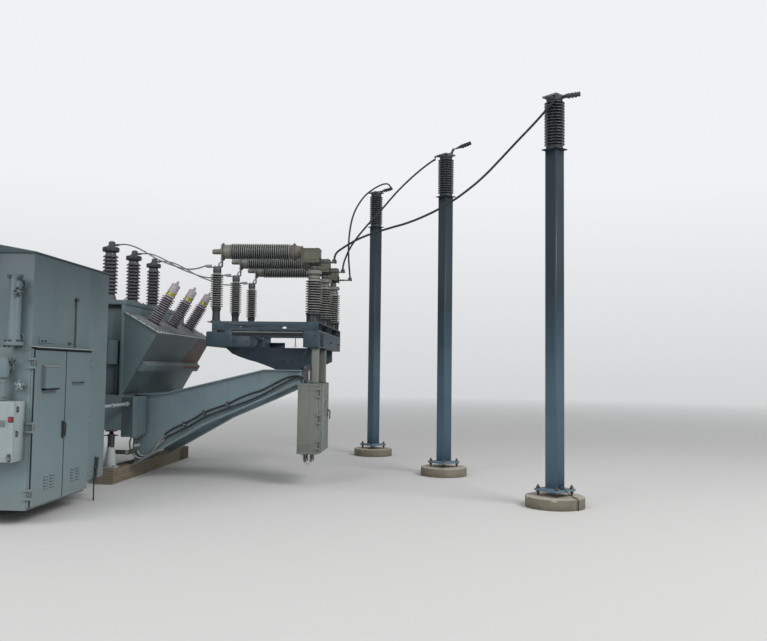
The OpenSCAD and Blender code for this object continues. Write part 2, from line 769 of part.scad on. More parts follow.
// Wedge-shaped nose under a plate that laps over its tip and cheeks
module bushing_nose() {
    tip_x = tank_front_x + nose_reach;
    lip_x = tip_x + rim_lip;
    lip_z = nose_tip_z - rim_lip * tan(nose_slope);
    color("#66777d") {
        side_plate([[tank_front_x, deck_top_z + nose_foot_h], [tip_x, nose_tip_z],
            [tip_x, nose_tip_z + rim_t / 2], [tank_front_x, nose_top_z + rim_t / 2]], unit_near_y, unit_w);
        side_plate([[tank_front_x, nose_top_z], [lip_x, lip_z], [lip_x, lip_z + rim_t],
            [tank_front_x, nose_top_z + rim_t]], unit_near_y - rim_lip, unit_w + 2 * rim_lip);
    }
}

// Folded channel along the nose's underside, seated on the slope
channel_share = 0.467;
channel_base_w = 150;
channel_crown_w = 98;
channel_depth = 75;
channel_t = 6;
function channel_outline(inset) = let (base = channel_base_w / 2 - inset,
    crown = channel_crown_w / 2 - inset)
    [[-base, inset > 0 ? 1 : -seat_gap], [-crown, inset - channel_depth], [crown, inset - channel_depth],
        [base, inset > 0 ? 1 : -seat_gap]];

module nose_channel() {
    x = tank_front_x + channel_share * nose_reach;
    z = deck_top_z + nose_foot_h + channel_share * (nose_tip_h - nose_foot_h);
    lean = atan2(nose_tip_h - nose_foot_h, nose_reach);
    color("#8b999d") translate([x, 0, z]) rotate([0, -lean, 0]) difference() {
        side_plate(channel_outline(0), unit_near_y + 50, unit_w - 100);
        side_plate(channel_outline(channel_t), unit_near_y + 49, unit_w - 98);
    }
}

// Seats of the inclined bushings, square to the nose's upper face
bushing_share = 0.51;
seat_gap = 0.3;
bushing_x = tank_front_x + nose_reach * (1 - bushing_share);
bushing_z = nose_tip_z + rim_t + nose_reach * bushing_share * tan(nose_slope);

module on_nose(k) {
    translate([bushing_x, bushing_lanes[k], bushing_z]) rotate([0, nose_slope, 0])
        translate([0, 0, seat_gap]) children();
}

bushing_flange_h = 22;
module inclined_bushings() {
    color("#4d4750") for (k = [0:2]) on_nose(k) {
        cylinder(d = bushing_d + 40, h = bushing_flange_h);
        translate([0, 0, bushing_flange_h - eps]) porcelain(bushing_h, 104, bushing_d, 16, 12);
    }
}

// Flange, sight glass, expansion chamber and stud of a bushing's cap: diameter and height
cap_steps = [[128, 20], [92, 45], [118, 120], [36, 50]];
function cap_low(i) = i == 0 ? bushing_flange_h + bushing_h : cap_low(i - 1) + cap_steps[i - 1][1];

module bushing_caps() {
    color("#c3c7c4") for (k = [0:2]) on_nose(k) for (i = [0:3])
        translate([0, 0, cap_low(i)]) cylinder(d = cap_steps[i][0], h = cap_steps[i][1]);
}

arrester_flange_h = 110;
arrester_cap_h = 140;
arrester_lug = 110;
arrester_top_z = cover_top_z + arrester_flange_h + arrester_h + arrester_cap_h;

module surge_arresters() {
    color("#4f4b53") for (k = [0:2]) translate([arrester_x, arrester_lanes[k], cover_top_z]) {
        rotate_extrude() polygon([[0, 0], [118, 0], [118, 18], [74, 30], [66, arrester_flange_h],
            [0, arrester_flange_h]]);
        translate([0, 0, arrester_flange_h - eps]) porcelain(arrester_h + 2 * eps, 118, arrester_d, 10, 14);
        translate([0, 0, arrester_flange_h + arrester_h]) {
            rotate_extrude() polygon([[0, 0], [72, 0], [72, 20], [114, 30], [114, 84], [96, 92], [0, 92]]);
            translate([0, 0, 92 - eps]) cylinder(d = 100, h = arrester_cap_h - 92 + eps);
            block([0, arrester_lug], [-22, 22], [arrester_cap_h - 30, arrester_cap_h]);
        }
    }
}

// Leads from the arresters to the slim posts, as distance along X and height
lead_d = 20;
lead_start_x = arrester_x + arrester_lug;
lead_end_x = slim_x - 90;
lead_z = arrester_top_z - 12;
lead_span = 1342;
lead_run = [[0, 0], [50, 3], [120, 0], [200, -20], [290, -56], [380, -102], [470, -154],
    [560, -205], [660, -250], [770, -291], [880, -328], [980, -352], [1070, -358],
    [1150, -349], [1220, -331], [1275, -316], [1342, -315.5]];

module lead(k) {
    reach = lead_end_x - lead_start_x;
    y0 = arrester_lanes[k];
    y1 = phase_lanes[k];
    pts = [for (p = lead_run) let (f = p[0] / lead_span)
        [lead_start_x + f * reach, y0 + f * (y1 - y0), lead_z + p[1]]];
    color("#85898a") conductor(pts, lead_d, plan_normal([lead_start_x, y0], [lead_end_x, y1]));
}

// Gooseneck

heel_top_z = deck_top_z + 27;
neck_low = [[deck_front_x, deck_top_z - 975], [heel_end_x + 4, deck_top_z - 723],
    [heel_end_x + 557, deck_top_z - 404], [heel_end_x + 1221, neck_top_z - 478]];
neck_high = [[neck_tip_x, neck_top_z - neck_tip_depth], [neck_tip_x, neck_top_z],
    [level_start_x, neck_top_z], [heel_end_x, heel_top_z], [deck_front_x, deck_top_z]];
neck_outline = concat(neck_low, neck_high);

// Strip that follows a run of outline points, t thick towards the inside of the beam
function lifted(p, t) = [p[0], p[1] + t];
module flange_strip(run, y, w, t) {
    side_plate(concat(run, [for (i = [len(run) - 1:-1:0]) lifted(run[i], t)]), y, w);
}

neck_top_flange_w = 110;
module gooseneck_beams() {
    low_run = concat(neck_low, [neck_high[0]]);
    high_run = [neck_high[4], neck_high[3], neck_high[2], neck_high[1]];
    color("#68808c") for (y = neck_lanes) {
        side_plate(neck_outline, y - neck_plate_t / 2, neck_plate_t);
        flange_strip(low_run, y - neck_flange_w / 2, neck_flange_w, neck_plate_t * 1.3);
        flange_strip([for (p = high_run) lifted(p, -neck_plate_t)], y - neck_top_flange_w / 2,
            neck_top_flange_w, neck_plate_t);
    }
}

// Cross members between the webs, as their left face and underside
module neck_spreader() {
    webs = [neck_lanes[0] + neck_plate_t / 2, neck_lanes[1] - neck_plate_t / 2];
    color("#68808c") {
        for (at = [[heel_end_x + 300, heel_top_z - 92], [level_start_x + 100, neck_top_z - 240]])
            block([at[0], at[0] + 90], webs, [at[1], at[1] + 110]);
    }
}

saddle_t = 16;
saddle_inset = neck_top_flange_w / 2;

// Boat-shaped plates that carry the switcher frame on the level end of the beams
module saddle_plates() {
    left = frame_left_x + 150;
    right = frame_right_x - 70;
    curve = [for (p = [[0, 1], [98, 0.71], [211, 0.56], [337, 0.42], [436, 0.34], [534, 0.23], [632, 0.11],
        [712, 0]]) [left + p[0], neck_top_z + p[1] * saddle_h]];
    outline = concat(curve, [[neck_tip_x - 40, neck_top_z], [right, neck_top_z + 0.43 * saddle_h],
        [right, neck_top_z + saddle_h]]);
    bolt_z = neck_top_z + 0.42 * saddle_h;
    color("#2f4450") for (y = neck_lanes) {
        side_plate(outline, y - saddle_inset, saddle_t);
        side_plate(outline, y + saddle_inset - saddle_t, saddle_t);
        for (x = [neck_tip_x - 268, neck_tip_x - 150])
            rod([x, y - saddle_inset - 24, bolt_z], [x, y + saddle_inset + 24, bolt_z], 26);
    }
}

// Junction box on the front of the base frame, with the rigid conduits
box_t = 150;
box_web_gap = 9;
box_far_y = neck_lanes[0] - neck_plate_t / 2 - box_web_gap;
box_h = 525;
conduit_d = 48;
conduit_bend = 90;
conduit_drop = 150;
conduit_insets = [178, 78];
box_top_z = deck_top_z - 25;
box_low_z = box_top_z - box_h;

module junction_box() {
    color("#75868c") {
        block([deck_front_x, deck_front_x + box_t], [unit_near_y, box_far_y], [box_low_z, box_top_z]);
        block([deck_front_x + box_t, deck_front_x + box_t + 14],
            [unit_near_y - 8, box_far_y + 8], [box_low_z - 8, box_top_z + 8]);
    }
}

module conduits() {
    z = box_top_z - 90;
    x = deck_front_x + box_t / 2;
    bend = conduit_bend;
    bend_z = box_low_z - conduit_drop;
    color("#aeb4b2") rod([x, encl_far_y, z], [x, unit_near_y, z], 42);
    color("#75868c") for (inset = conduit_insets) let (y = box_far_y - inset) {
        translate([x, y, bend_z]) cylinder(d = conduit_d, h = box_low_z - bend_z);
        translate([x - bend, y, bend_z]) rotate([90, 0, 0]) rotate_extrude(angle = -90)
            translate([bend, 0]) circle(d = conduit_d);
        rod([x - bend + eps, y, bend_z - bend], [x - bend - 220, y, bend_z - bend], conduit_d);
    }
}

// Cables clipped to the near beam's web, as distance from the base frame and height
cable_d = 22;
cable_runs = [
    [[87, 615], [87, 520], [92, 440], [110, 378], [147, 345], [197, 348], [252, 378], [302, 428],
        [347, 492], [397, 565], [462, 640], [562, 705], [702, 770], [852, 850], [972, 925],
        [1122, 985], [1302, 1050], [1452, 1125], [1602, 1188], [1762, 1240], [1902, 1312],
        [2052, 1392], [2152, 1432], [2242, 1446], [2312, 1436], [2357, 1402], [2372, 1350]],
    [[47, 615], [47, 510], [52, 430], [72, 365], [112, 325], [172, 335], [232, 372], [292, 412],
        [342, 460], [402, 520], [482, 585], [602, 650], [786, 742], [912, 820], [1027, 882],
        [1202, 950], [1360, 1010], [1562, 1085], [1756, 1168], [1892, 1240], [2019, 1312],
        [2132, 1372], [2216, 1412], [2292, 1424], [2357, 1412], [2394, 1384], [2402, 1350]]];
module beam_cables() {
    web_y = neck_lanes[0] - neck_plate_t / 2;
    color("#2e3133") for (k = [0, 1]) {
        y = web_y - cable_d / 2 - 0.3 - k * (cable_d + 3);
        conductor([for (p = cable_runs[k]) [deck_front_x + p[0], y, p[1]]], cable_d, [0, 1, 0]);
    }
}

// Jacks on timber cribbing

jack_x = [deck_front_x - 150, deck_rear_x + 250];
jack_y = [unit_near_y + sill_w / 2, unit_far_y - sill_w / 2];

module jacks() {
    foot = 170;
    color("#b5bab9") for (x = jack_x, y = jack_y) translate([x, y, crib_h]) {
        block([-foot / 2, foot / 2], [-foot / 2, foot / 2], [0, 22]);
        for (turn = [0, 90]) rotate(turn) translate([0, 7, 0]) rotate([90, 0, 0])
            linear_extrude(height = 14) polygon([[-foot / 2 + 6, 21], [foot / 2 - 6, 21],
                [foot / 2 - 6, 105], [jack_d / 2, 315], [-jack_d / 2, 315], [-foot / 2 + 6, 105]]);
        translate([0, 0, 21]) cylinder(d = jack_d, h = deck_low_z - crib_h - 21);
    }
}

module cribbing() {
    start = unit_y - crib_len / 2;
    split = start + crib_len;
    color("#8a8073") for (x = jack_x) for (y = [[start, split], [split + seat_gap, split + crib_tail]])
        block([x - crib_w / 2, x + crib_w / 2], y, [0, crib_h]);
}

// Circuit switcher frame

module frame_cross_boxes() {
    color("#2f4450") {
        block(left_box_x, [unit_near_y, unit_far_y], [frame_z, left_box_top_z]);
        block([frame_right_x - right_box_w, frame_right_x], [unit_near_y, unit_far_y], [frame_z, rail_z]);
        for (y = [unit_near_y, unit_far_y - rail_w], x = pad_x)
            block(x, [y, y + rail_w], [left_box_top_z, rail_z]);
    }
}

// Short channels beside the left cross box, the lower bar on the near one and its bracket
module frame_stubs() {
    stub_x = [left_box_x[1], left_box_x[1] + 237];
    stub_z = [frame_z, bar_z[0]];
    bracket_y = neck_lanes[0] - saddle_inset;
    bracket_x = stub_x[1] + 80;
    bend = [for (turn = [90:15:180]) [bracket_x - 65 - 85 * (1 - sin(turn)), stub_z[1] + 135 * cos(turn)]];
    color("#2f4450") {
        channel_x(stub_x, [unit_near_y, unit_near_y + rail_w], stub_z, 1, 9);
        channel_x(stub_x, [unit_far_y - rail_w, unit_far_y], stub_z, -1, 9);
        block([stub_x[0], frame_right_x - right_box_w], [unit_near_y + 10, unit_near_y + 60], bar_z);
        side_plate(concat(bend, [[bracket_x, stub_z[0]], [bracket_x, stub_z[1]]]), bracket_y, saddle_t);
        block([bracket_x - 65, bracket_x], [unit_near_y + 30, bracket_y + saddle_t],
            [bar_z[0] - 30, bar_z[0]]);
    }
}

// Oval hole through a rail's web
module slot_hole(x, y) {
    translate([x, y, rail_z + 40]) rotate([90, 0, 0]) linear_extrude(height = 20, center = true) {
        square([slot_size[0] - slot_size[1], slot_size[1]], center = true);
        for (side = [-1, 1]) translate([side * (slot_size[0] - slot_size[1]) / 2, 0])
            circle(d = slot_size[1]);
    }
}

module frame_rails() {
    x = [pad_x[0][0], frame_right_x];
    color("#3a505c") difference() {
        union() {
            channel_x(x, [unit_near_y, unit_near_y + rail_w], [rail_z, frame_top_z], 1, 9);
            channel_x(x, [unit_far_y - rail_w, unit_far_y], [rail_z, frame_top_z], -1, 9);
        }
        for (at = [463, 1058], y = [unit_near_y, unit_far_y]) slot_hole(frame_left_x + at, y);
    }
}

// Channel along Y, open to +X or to -X
module channel_y(x, y, z, open_to, t) {
    inner = open_to > 0 ? [x[0] + t, x[1] + 1] : [x[0] - 1, x[1] - t];
    difference() {
        block(x, y, z);
        block(inner, [y[0] - 1, y[1] + 1], [z[0] + t, z[1] - t]);
    }
}

module post_beams() {
    y = [unit_near_y + rail_w, unit_far_y - rail_w];
    color("#3a505c") {
        channel_y([frame_left_x, frame_left_x + post_beam_w], y, [left_box_top_z, frame_top_z], -1, 12);
        channel_y([frame_right_x - right_box_w, frame_right_x], y, [rail_z, frame_top_z], 1, 12);
    }
}

// Posts stand on the frame, under each end of an interrupter

slim_base_h = 195;
slim_cap_h = 72;
slim_h = 475;
thick_base_h = 135;
thick_h = 458;
slim_top_z = frame_top_z + slim_base_h + slim_h;
thick_top_z = frame_top_z + thick_base_h + thick_h;

module slim_posts() {
    color("#70777a") for (y = phase_lanes) translate([slim_x, y, frame_top_z + slim_base_h])
        porcelain(slim_h, 100, slim_post_d, 15, 8);
}

module thick_posts() {
    color("#70777a") for (y = phase_lanes) translate([thick_x, y, frame_top_z + thick_base_h])
        porcelain(thick_h, 150, thick_post_d, 13, 8);
}

head_w = 240;
head_h = 185;
head_x = [thick_x - 165, thick_x + 76];
head_z = frame_top_z + inter_axis_h - 155;
flange_left_x = slim_x + 72;

module post_fittings() {
    for (y = phase_lanes) {
        color("#39464c") translate([slim_x, y, frame_top_z]) {
            rotate_extrude() polygon([[0, 0], [74, 0], [74, 16], [56, 24], [56, slim_base_h - 20],
                [64, slim_base_h], [0, slim_base_h]]);
        }
        color("#39464c") translate([thick_x, y, frame_top_z]) {
            rotate_extrude() polygon([[0, 0], [99, 0], [99, 20], [77, 20], [77, thick_base_h - 34],
                [108, thick_base_h - 24], [108, thick_base_h], [0, thick_base_h]]);
            translate([0, 0, 20]) bolt_ring(176, 8, 14);
        }
        color("#7a8081") translate([thick_x, y, thick_top_z]) let (top = head_z - thick_top_z)
            rotate_extrude() polygon([[0, 0], [92, 0], [92, 34], [70, 60], [66, top], [0, top]]);
        color("#7a8081") {
            translate([slim_x, y, slim_top_z]) cylinder(d = 112, h = slim_cap_h);
            block([slim_x - 150, flange_left_x], [y - 32, y + 32],
                [slim_top_z + slim_cap_h, slim_top_z + slim_cap_h + 16]);
            block([flange_left_x - 14, flange_left_x], [y - 60, y + 60],
                [slim_top_z + slim_cap_h + 16 - eps, inter_z - 90]);
        }
    }
}

inter_x = [flange_left_x + 120, head_x[0] - 150];

module interrupters() {
    color("#7c8385") for (y = phase_lanes) translate([inter_x[0], y, inter_z]) rotate([0, 90, 0])
        porcelain(inter_x[1] - inter_x[0], 172, inter_d, 28, 6);
}

module interrupter_flanges() {
    color("#83898a") for (y = phase_lanes) {
        translate([inter_x[0], y, inter_z]) rotate([0, -90, 0]) {
            cylinder(d = 196, h = 106);
            translate([0, 0, 106 - eps]) cylinder(d = 240, h = 14 + eps);
            translate([0, 0, 120]) cylinder(d = 64, h = 130);
            translate([0, 0, 120]) bolt_ring(212, 10, 14, 30);
        }
        translate([inter_x[1], y, inter_z]) rotate([0, 90, 0]) {
            cylinder(d = 196, h = 30);
            translate([0, 0, 30 - eps]) cylinder(d = 240, h = 18);
            translate([0, 0, 48 - eps]) cylinder(d1 = 190, d2 = 150, h = head_x[0] - inter_x[1] - 48 + eps);
        }
    }
}

module head_boxes() {
    color("#7d7f6f") for (y = phase_lanes) {
        block(head_x, [y - head_w / 2, y + head_w / 2], [head_z, head_z + head_h]);
        block([head_x[0], head_x[1] + 6], [y - head_w / 2 - 6, y + head_w / 2 + 6],
            [head_z + head_h, head_z + head_h + 8]);
    }
}

module switcher_terminals() {
    color("#8b8f8e") for (y = phase_lanes) {
        block([head_x[1], terminal_x + 34], [y - 34, y + 34],
            [terminal_bar_z, terminal_bar_z + terminal_bar_t]);
        translate([terminal_x, y, terminal_bar_z + terminal_bar_t - eps])
            cylinder(d = 52, h = terminal_socket_h + eps);
    }
}

// Cabinet that hangs from the near right corner of the switcher frame

hang_right_x = frame_right_x + 12;
hang_left_x = hang_right_x - hang_w;
hang_near_y = unit_near_y + 40;
hang_far_y = hang_near_y + hang_len;
hang_top_z = hang_z + hang_h;
hang_sheet = 4;
hang_door_x = hang_right_x + 3 + 24;
hang_hinge_y = hang_near_y - 8;
hang_mid_z = hang_z + hang_h / 2;
hang_hinges = [hang_z + 120, hang_mid_z, hang_top_z - 120];

module hanging_cabinet() {
    color("#787a76") {
        difference() {
            block([hang_left_x, hang_right_x], [hang_near_y, hang_far_y], [hang_z, hang_top_z]);
            block([hang_left_x + hang_sheet, hang_right_x + 1],
                [hang_near_y + hang_sheet, hang_far_y - hang_sheet],
                [hang_z + hang_sheet, hang_top_z - hang_sheet]);
        }
        for (z = hang_hinges, end = [-1, 1]) {
            low = end < 0 ? z - 35 - 30 : z + 35 + 0.3;
            translate([hang_door_x, hang_hinge_y, low]) cylinder(r = hinge_r, h = 29.7);
            block([hang_right_x - 30, hang_door_x], [hang_hinge_y - hinge_r, hang_hinge_y - hinge_r + 4],
                [low, low + 29.7]);
            block([hang_right_x - 30, hang_right_x], [hang_hinge_y - hinge_r, hang_near_y],
                [low, low + 29.7]);
        }
        block([hang_left_x + 30, hang_right_x - 30], [hang_near_y + 60, hang_near_y + 420],
            [hang_z - 12, hang_z]);
        for (i = [0:3])
            translate([hang_left_x + 90 + (i % 2) * 70, hang_near_y + 110 + i * 80, hang_z - 120])
                cylinder(d = 34, h = 108 + eps);
    }
}

module hanging_cabinet_door() {
    y0 = hang_hinge_y + hinge_out;
    color("#7c7e7a") {
        pan_door(hang_door_x, [y0, hang_far_y], [hang_z + 6, hang_top_z - 6], hang_sheet, 24);
        for (z = hang_hinges) door_knuckle(hang_door_x, hang_hinge_y, y0, z, 70);
    }
    color("#2b2e2f") {
        block([hang_door_x - eps, hang_door_x + 12], [hang_far_y - 80, hang_far_y - 45],
            [hang_mid_z - 10, hang_mid_z + 100]);
        block([hang_door_x + 12 - eps, hang_door_x + 34], [hang_far_y - 74, hang_far_y - 52],
            [hang_mid_z - 40, hang_mid_z + 70]);
    }
}

module hanger_posts() {
    color("#5a686e") for (y = [hang_near_y + 20, hang_far_y - 110])
        block([frame_right_x - 90, frame_right_x], [y, y + 90], [hang_top_z, frame_z]);
}

concrete_piers();
column_tubes();
column_base_plates();
anchor_bolts();
column_cap_plates();
column_insulators();
line_plates();
strain_clamps();
jumper(0);  // jumper_1
jumper(1);  // jumper_2
jumper(2);  // jumper_3
enclosure_body();
enclosure_upper_bay();
enclosure_side_bay();
enclosure_roof();
enclosure_skids();
enclosure_pipework();
control_cabinet();
drip_edge();
control_door_left();
control_door_right();
relay_box();
relay_box_door();
deck_sills();
deck_cross_members();
deck_plate();
transformer_tank();
tank_stiffeners();
tank_cover();
bushing_nose();
nose_channel();
inclined_bushings();
bushing_caps();
surge_arresters();
lead(0);  // lead_1
lead(1);  // lead_2
lead(2);  // lead_3
gooseneck_beams();
neck_spreader();
saddle_plates();
junction_box();
conduits();
beam_cables();
jacks();
cribbing();
frame_cross_boxes();
frame_stubs();
frame_rails();
post_beams();
slim_posts();
thick_posts();
post_fittings();
interrupters();
interrupter_flanges();
head_boxes();
switcher_terminals();
hanging_cabinet();
hanging_cabinet_door();
hanger_posts();
ground_leads();
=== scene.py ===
import json
import random
from math import atan2, cos, degrees, pi, radians, sin, sqrt, tan

import bmesh
import bpy
from mathutils import Matrix, Vector, noise


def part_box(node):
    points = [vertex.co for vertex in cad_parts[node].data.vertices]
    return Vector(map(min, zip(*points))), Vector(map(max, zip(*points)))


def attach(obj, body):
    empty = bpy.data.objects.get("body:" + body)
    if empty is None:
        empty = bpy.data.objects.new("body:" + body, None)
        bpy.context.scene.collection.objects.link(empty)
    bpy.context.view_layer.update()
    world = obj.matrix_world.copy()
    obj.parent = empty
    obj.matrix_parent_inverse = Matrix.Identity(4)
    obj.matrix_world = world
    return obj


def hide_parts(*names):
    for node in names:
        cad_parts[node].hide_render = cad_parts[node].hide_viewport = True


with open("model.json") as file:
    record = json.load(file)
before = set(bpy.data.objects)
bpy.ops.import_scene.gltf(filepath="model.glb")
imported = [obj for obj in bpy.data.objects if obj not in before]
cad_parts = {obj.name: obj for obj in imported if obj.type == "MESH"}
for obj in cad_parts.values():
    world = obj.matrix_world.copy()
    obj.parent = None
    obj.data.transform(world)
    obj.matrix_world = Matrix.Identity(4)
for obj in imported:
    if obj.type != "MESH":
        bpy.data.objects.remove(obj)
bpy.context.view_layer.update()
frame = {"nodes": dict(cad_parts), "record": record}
print("frame loaded:", len(frame["nodes"]), "nodes")

scene = bpy.context.scene
scene.view_settings.view_transform = "Standard"
subpartSlots = {part["node"]: part["material_slot"] for part in frame["record"]["subparts"]}
mounts = {mount["name"]: Vector(mount["pos_m"]) for mount in frame["record"]["mounts"]}
columnPlaces = [Vector((mounts[name].x, mounts[name].y, 0.0)) for name in ("line_plate_near",
    "line_plate_middle", "line_plate_far")]
flat = Matrix.Identity(4)
sideways = Matrix(((1, 0, 0, 0), (0, 0, 1, 0), (0, 1, 0, 0), (0, 0, 0, 1)))  # draws in X and Z


# Camera, at the height of a standing person's eyes
cameraSettings = {"place": (-0.222, -12.0, 1.55), "lens": 37.55, "sensor": 36.0, "turn": 3.33, "tilt": 3.5,
    "roll": 0.7}


def makeCamera(settings):
    data = bpy.data.cameras.new("camera")
    data.lens = settings["lens"]
    data.sensor_width = settings["sensor"]
    data.sensor_fit = "HORIZONTAL"
    data.clip_end = 200.0
    camera = bpy.data.objects.new("camera", data)
    scene.collection.objects.link(camera)
    turn, tilt, roll = (radians(settings[key]) for key in ("turn", "tilt", "roll"))
    camera.matrix_world = (Matrix.Translation(settings["place"]) @ Matrix.Rotation(turn, 4,
        "Z") @ Matrix.Rotation(pi / 2 + tilt, 4, "X") @ Matrix.Rotation(roll, 4, "Z"))
    scene.camera = camera


makeCamera(cameraSettings)
print("camera placed")


# Mesh making: every helper adds to a bmesh, in metres and in the part's own frame
def addBlock(bm, low, high, place=flat):
    corners = [bm.verts.new(place @ Vector((x, y, z))) for x in (low[0], high[0]) for y in (low[1],
        high[1]) for z in (low[2], high[2])]
    for face in ((0, 1, 3, 2), (4, 6, 7, 5), (0, 4, 5, 1), (2, 3, 7, 6), (0, 2, 6, 4), (1, 5, 7, 3)):
        bm.faces.new([corners[k] for k in face])


def addLathe(bm, outline, sides=32, place=flat):
    # outline holds radius and height from the low end up; a radius of 0 closes an end
    rings = []
    for radius, height in outline:
        if radius < 1e-6:
            rings.append([bm.verts.new(place @ Vector((0, 0, height)))])
            continue
        turns = [2 * pi * k / sides for k in range(sides)]
        rings.append([bm.verts.new(place @ Vector((radius * cos(a), radius * sin(a), height))) for a in turns])
    for lower, upper in zip(rings, rings[1:]):
        for k in range(sides):
            n = (k + 1) % sides
            corners = [lower[k % len(lower)], lower[n % len(lower)], upper[n % len(upper)],
                upper[k % len(upper)]]
            corners = list(dict.fromkeys(corners))
            if len(corners) > 2:
                bm.faces.new(corners)


def addTurned(bm, outline, sides, place=flat, lift=0.0):
    # a lathe whose outline is in millimetres above lift
    addLathe(bm, [(radius / 1000, height / 1000 + lift) for radius, height in outline], sides, place)


def drawn(points, *corner):
    # points in millimetres from a corner in metres
    corner = corner or (0,) * len(points[0])
    return [tuple(base + value / 1000 for base, value in zip(corner, point)) for point in points]


def meshes(count):
    return [bmesh.new() for _ in range(count)]


def addPrism(bm, outline, low, high, place=flat):
    # outline is drawn in the first two axes and runs from low to high along the third
    bottom = [bm.verts.new(place @ Vector((x, y, low))) for x, y in outline]
    top = [bm.verts.new(place @ Vector((x, y, high))) for x, y in outline]
    bm.faces.new(bottom)
    bm.faces.new(top)
    for k in range(len(outline)):
        n = (k + 1) % len(outline)
        bm.faces.new((bottom[k], bottom[n], top[n], top[k]))


def alongAxis(start, direction):
    # place whose +Z runs along direction, from start
    turn = Vector(direction).to_track_quat("Z", "Y").to_matrix().to_4x4()
    return Matrix.Translation(start) @ turn


def addRod(bm, start, end, radius, sides=16):
    span = Vector(end) - Vector(start)
    addLathe(bm, [(0, 0), (radius, 0), (radius, span.length), (0, span.length)], sides, alongAxis(start, span))


def addTube(bm, path, radius, sides=12, closed=False):
    points = [Vector(p) for p in path]
    count = len(points)
    rings = []
    side = None
    for k in range(count):
        before = points[k - 1] if k > 0 or closed else points[k]
        after = points[(k + 1) % count] if k < count - 1 or closed else points[k]
        along = (after - before).normalized()
        if side is None:
            side = along.orthogonal().normalized()
        side = (side - along * side.dot(along)).normalized()
        other = along.cross(side)
        size = radius[k] if isinstance(radius, list) else radius
        rings.append([bm.verts.new(points[k] + size * (cos(a) * side + sin(a) * other)) for a in (2 * pi * j
            / sides for j in range(sides))])
    spans = list(zip(rings, rings[1:])) + ([(rings[-1], rings[0])] if closed else [])
    for first, second in spans:
        for j in range(sides):
            n = (j + 1) % sides
            bm.faces.new((first[j], first[n], second[n], second[j]))
    if not closed:
        bm.faces.new(rings[0])
        bm.faces.new(rings[-1])


def smoothPath(points, steps=6):
    # Catmull-Rom curve through the points
    points = [Vector(p) for p in points]
    ends = [points[0] * 2 - points[1]] + points + [points[-1] * 2 - points[-2]]
    path = []
    for a, b, c, d in zip(ends, ends[1:], ends[2:], ends[3:]):
        for k in range(steps):
            t = k / steps
            path.append(0.5 * ((2 * b) + (c - a) * t + (2 * a - 5 * b + 4 * c - d) * t ** 2 + (3 * b - a - 3 * c
                + d) * t ** 3))
    return path + [points[-1]]


def addBolt(bm, place, size, proud=0.7, washer=True):
    # hexagon head with its washer and a domed top, on a face whose normal is the place's +Z
    base = 0.0
    if washer:
        base = size * 0.12
        addLathe(bm, [(0, -0.0002), (size * 0.68, -0.0002), (size * 0.68, base), (0, base)], 16, place)
    head = size * proud
    addLathe(bm, [(0, base), (size * 0.5, base), (size * 0.5, base + head * 0.85), (size * 0.42, base + head),
        (0, base + head)], 6, place)


def addBoltRing(bm, place, radius, count, size, start=0.5, proud=0.7):
    for k in range(count):
        turn = Matrix.Rotation(2 * pi * (k + start) / count, 4, "Z")
        addBolt(bm, place @ turn @ Matrix.Translation((radius, 0, 0)), size, proud)


def makePiece(name, bm, finish, bevel=0.0, slot=None, body="bay", stands=(), sharpAngle=32.0):
    bmesh.ops.recalc_face_normals(bm, faces=bm.faces)
    limit = radians(sharpAngle)
    for edge in bm.edges:
        edge.smooth = len(edge.link_faces) == 2 and edge.calc_face_angle(0.0) < limit
    for face in bm.faces:
        face.smooth = True
    mesh = bpy.data.meshes.new(name)
    bm.to_mesh(mesh)
    bm.free()
    mesh.materials.append(finishes[finish])
    piece = bpy.data.objects.new(name, mesh)
    scene.collection.objects.link(piece)
    if bevel:
        softenEdges(piece, bevel)
    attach(piece, body)
    if stands:
        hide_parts(*stands)


def makePieces(*rows, **shared):
    # each row holds name, mesh, finish and, where they are needed, bevel and slot
    for row in rows:
        makePiece(*row, **shared)


def softenEdges(piece, width, segments=2):
    bevel = piece.modifiers.new("softened edges", "BEVEL")
    bevel.width = width
    bevel.segments = segments
    bevel.limit_method = "ANGLE"
    bevel.angle_limit = radians(40)
    bevel.harden_normals = True


# Shader node helpers
def addNode(tree, kind, inputs=None, **settings):
    node = tree.nodes.new("ShaderNode" + kind)
    for key, value in settings.items():
        setattr(node, key, value)
    for key, value in (inputs or {}).items():
        if isinstance(value, bpy.types.NodeSocket):
            tree.links.new(value, node.inputs[key])
        else:
            node.inputs[key].default_value = value
    return node


def addMath(tree, operation, first, second=0.0, clamp=False):
    node = addNode(tree, "Math", {0: first, 1: second}, operation=operation, use_clamp=clamp)
    return node.outputs[0]


def times(tree, first, second, clamp=False):
    return addMath(tree, "MULTIPLY", first, second, clamp)


def plus(tree, first, second, clamp=False):
    return addMath(tree, "ADD", first, second, clamp)


def minus(tree, first, second, clamp=False):
    return addMath(tree, "SUBTRACT", first, second, clamp)


def ownSpace(tree):
    return addNode(tree, "TexCoord").outputs["Object"]


def facing(tree):
    return addNode(tree, "NewGeometry").outputs["Normal"]


def axes(tree, vector):
    return addNode(tree, "SeparateXYZ", {0: vector}).outputs


def addRange(tree, value, low, high, toLow=0.0, toHigh=1.0):
    node = addNode(tree, "MapRange", {"Value": value, "From Min": low, "From Max": high, "To Min": toLow,
        "To Max": toHigh})
    return node.outputs["Result"]


def mixColours(tree, factor, first, second, blend="MIX"):
    node = addNode(tree, "Mix", data_type="RGBA", blend_type=blend)
    for key, value in (("Factor_Float", factor), ("A_Color", first), ("B_Color", second)):
        socket = next(s for s in node.inputs if s.identifier == key)
        if isinstance(value, bpy.types.NodeSocket):
            tree.links.new(value, socket)
        else:
            socket.default_value = value
    return next(s for s in node.outputs if s.identifier == "Result_Color")


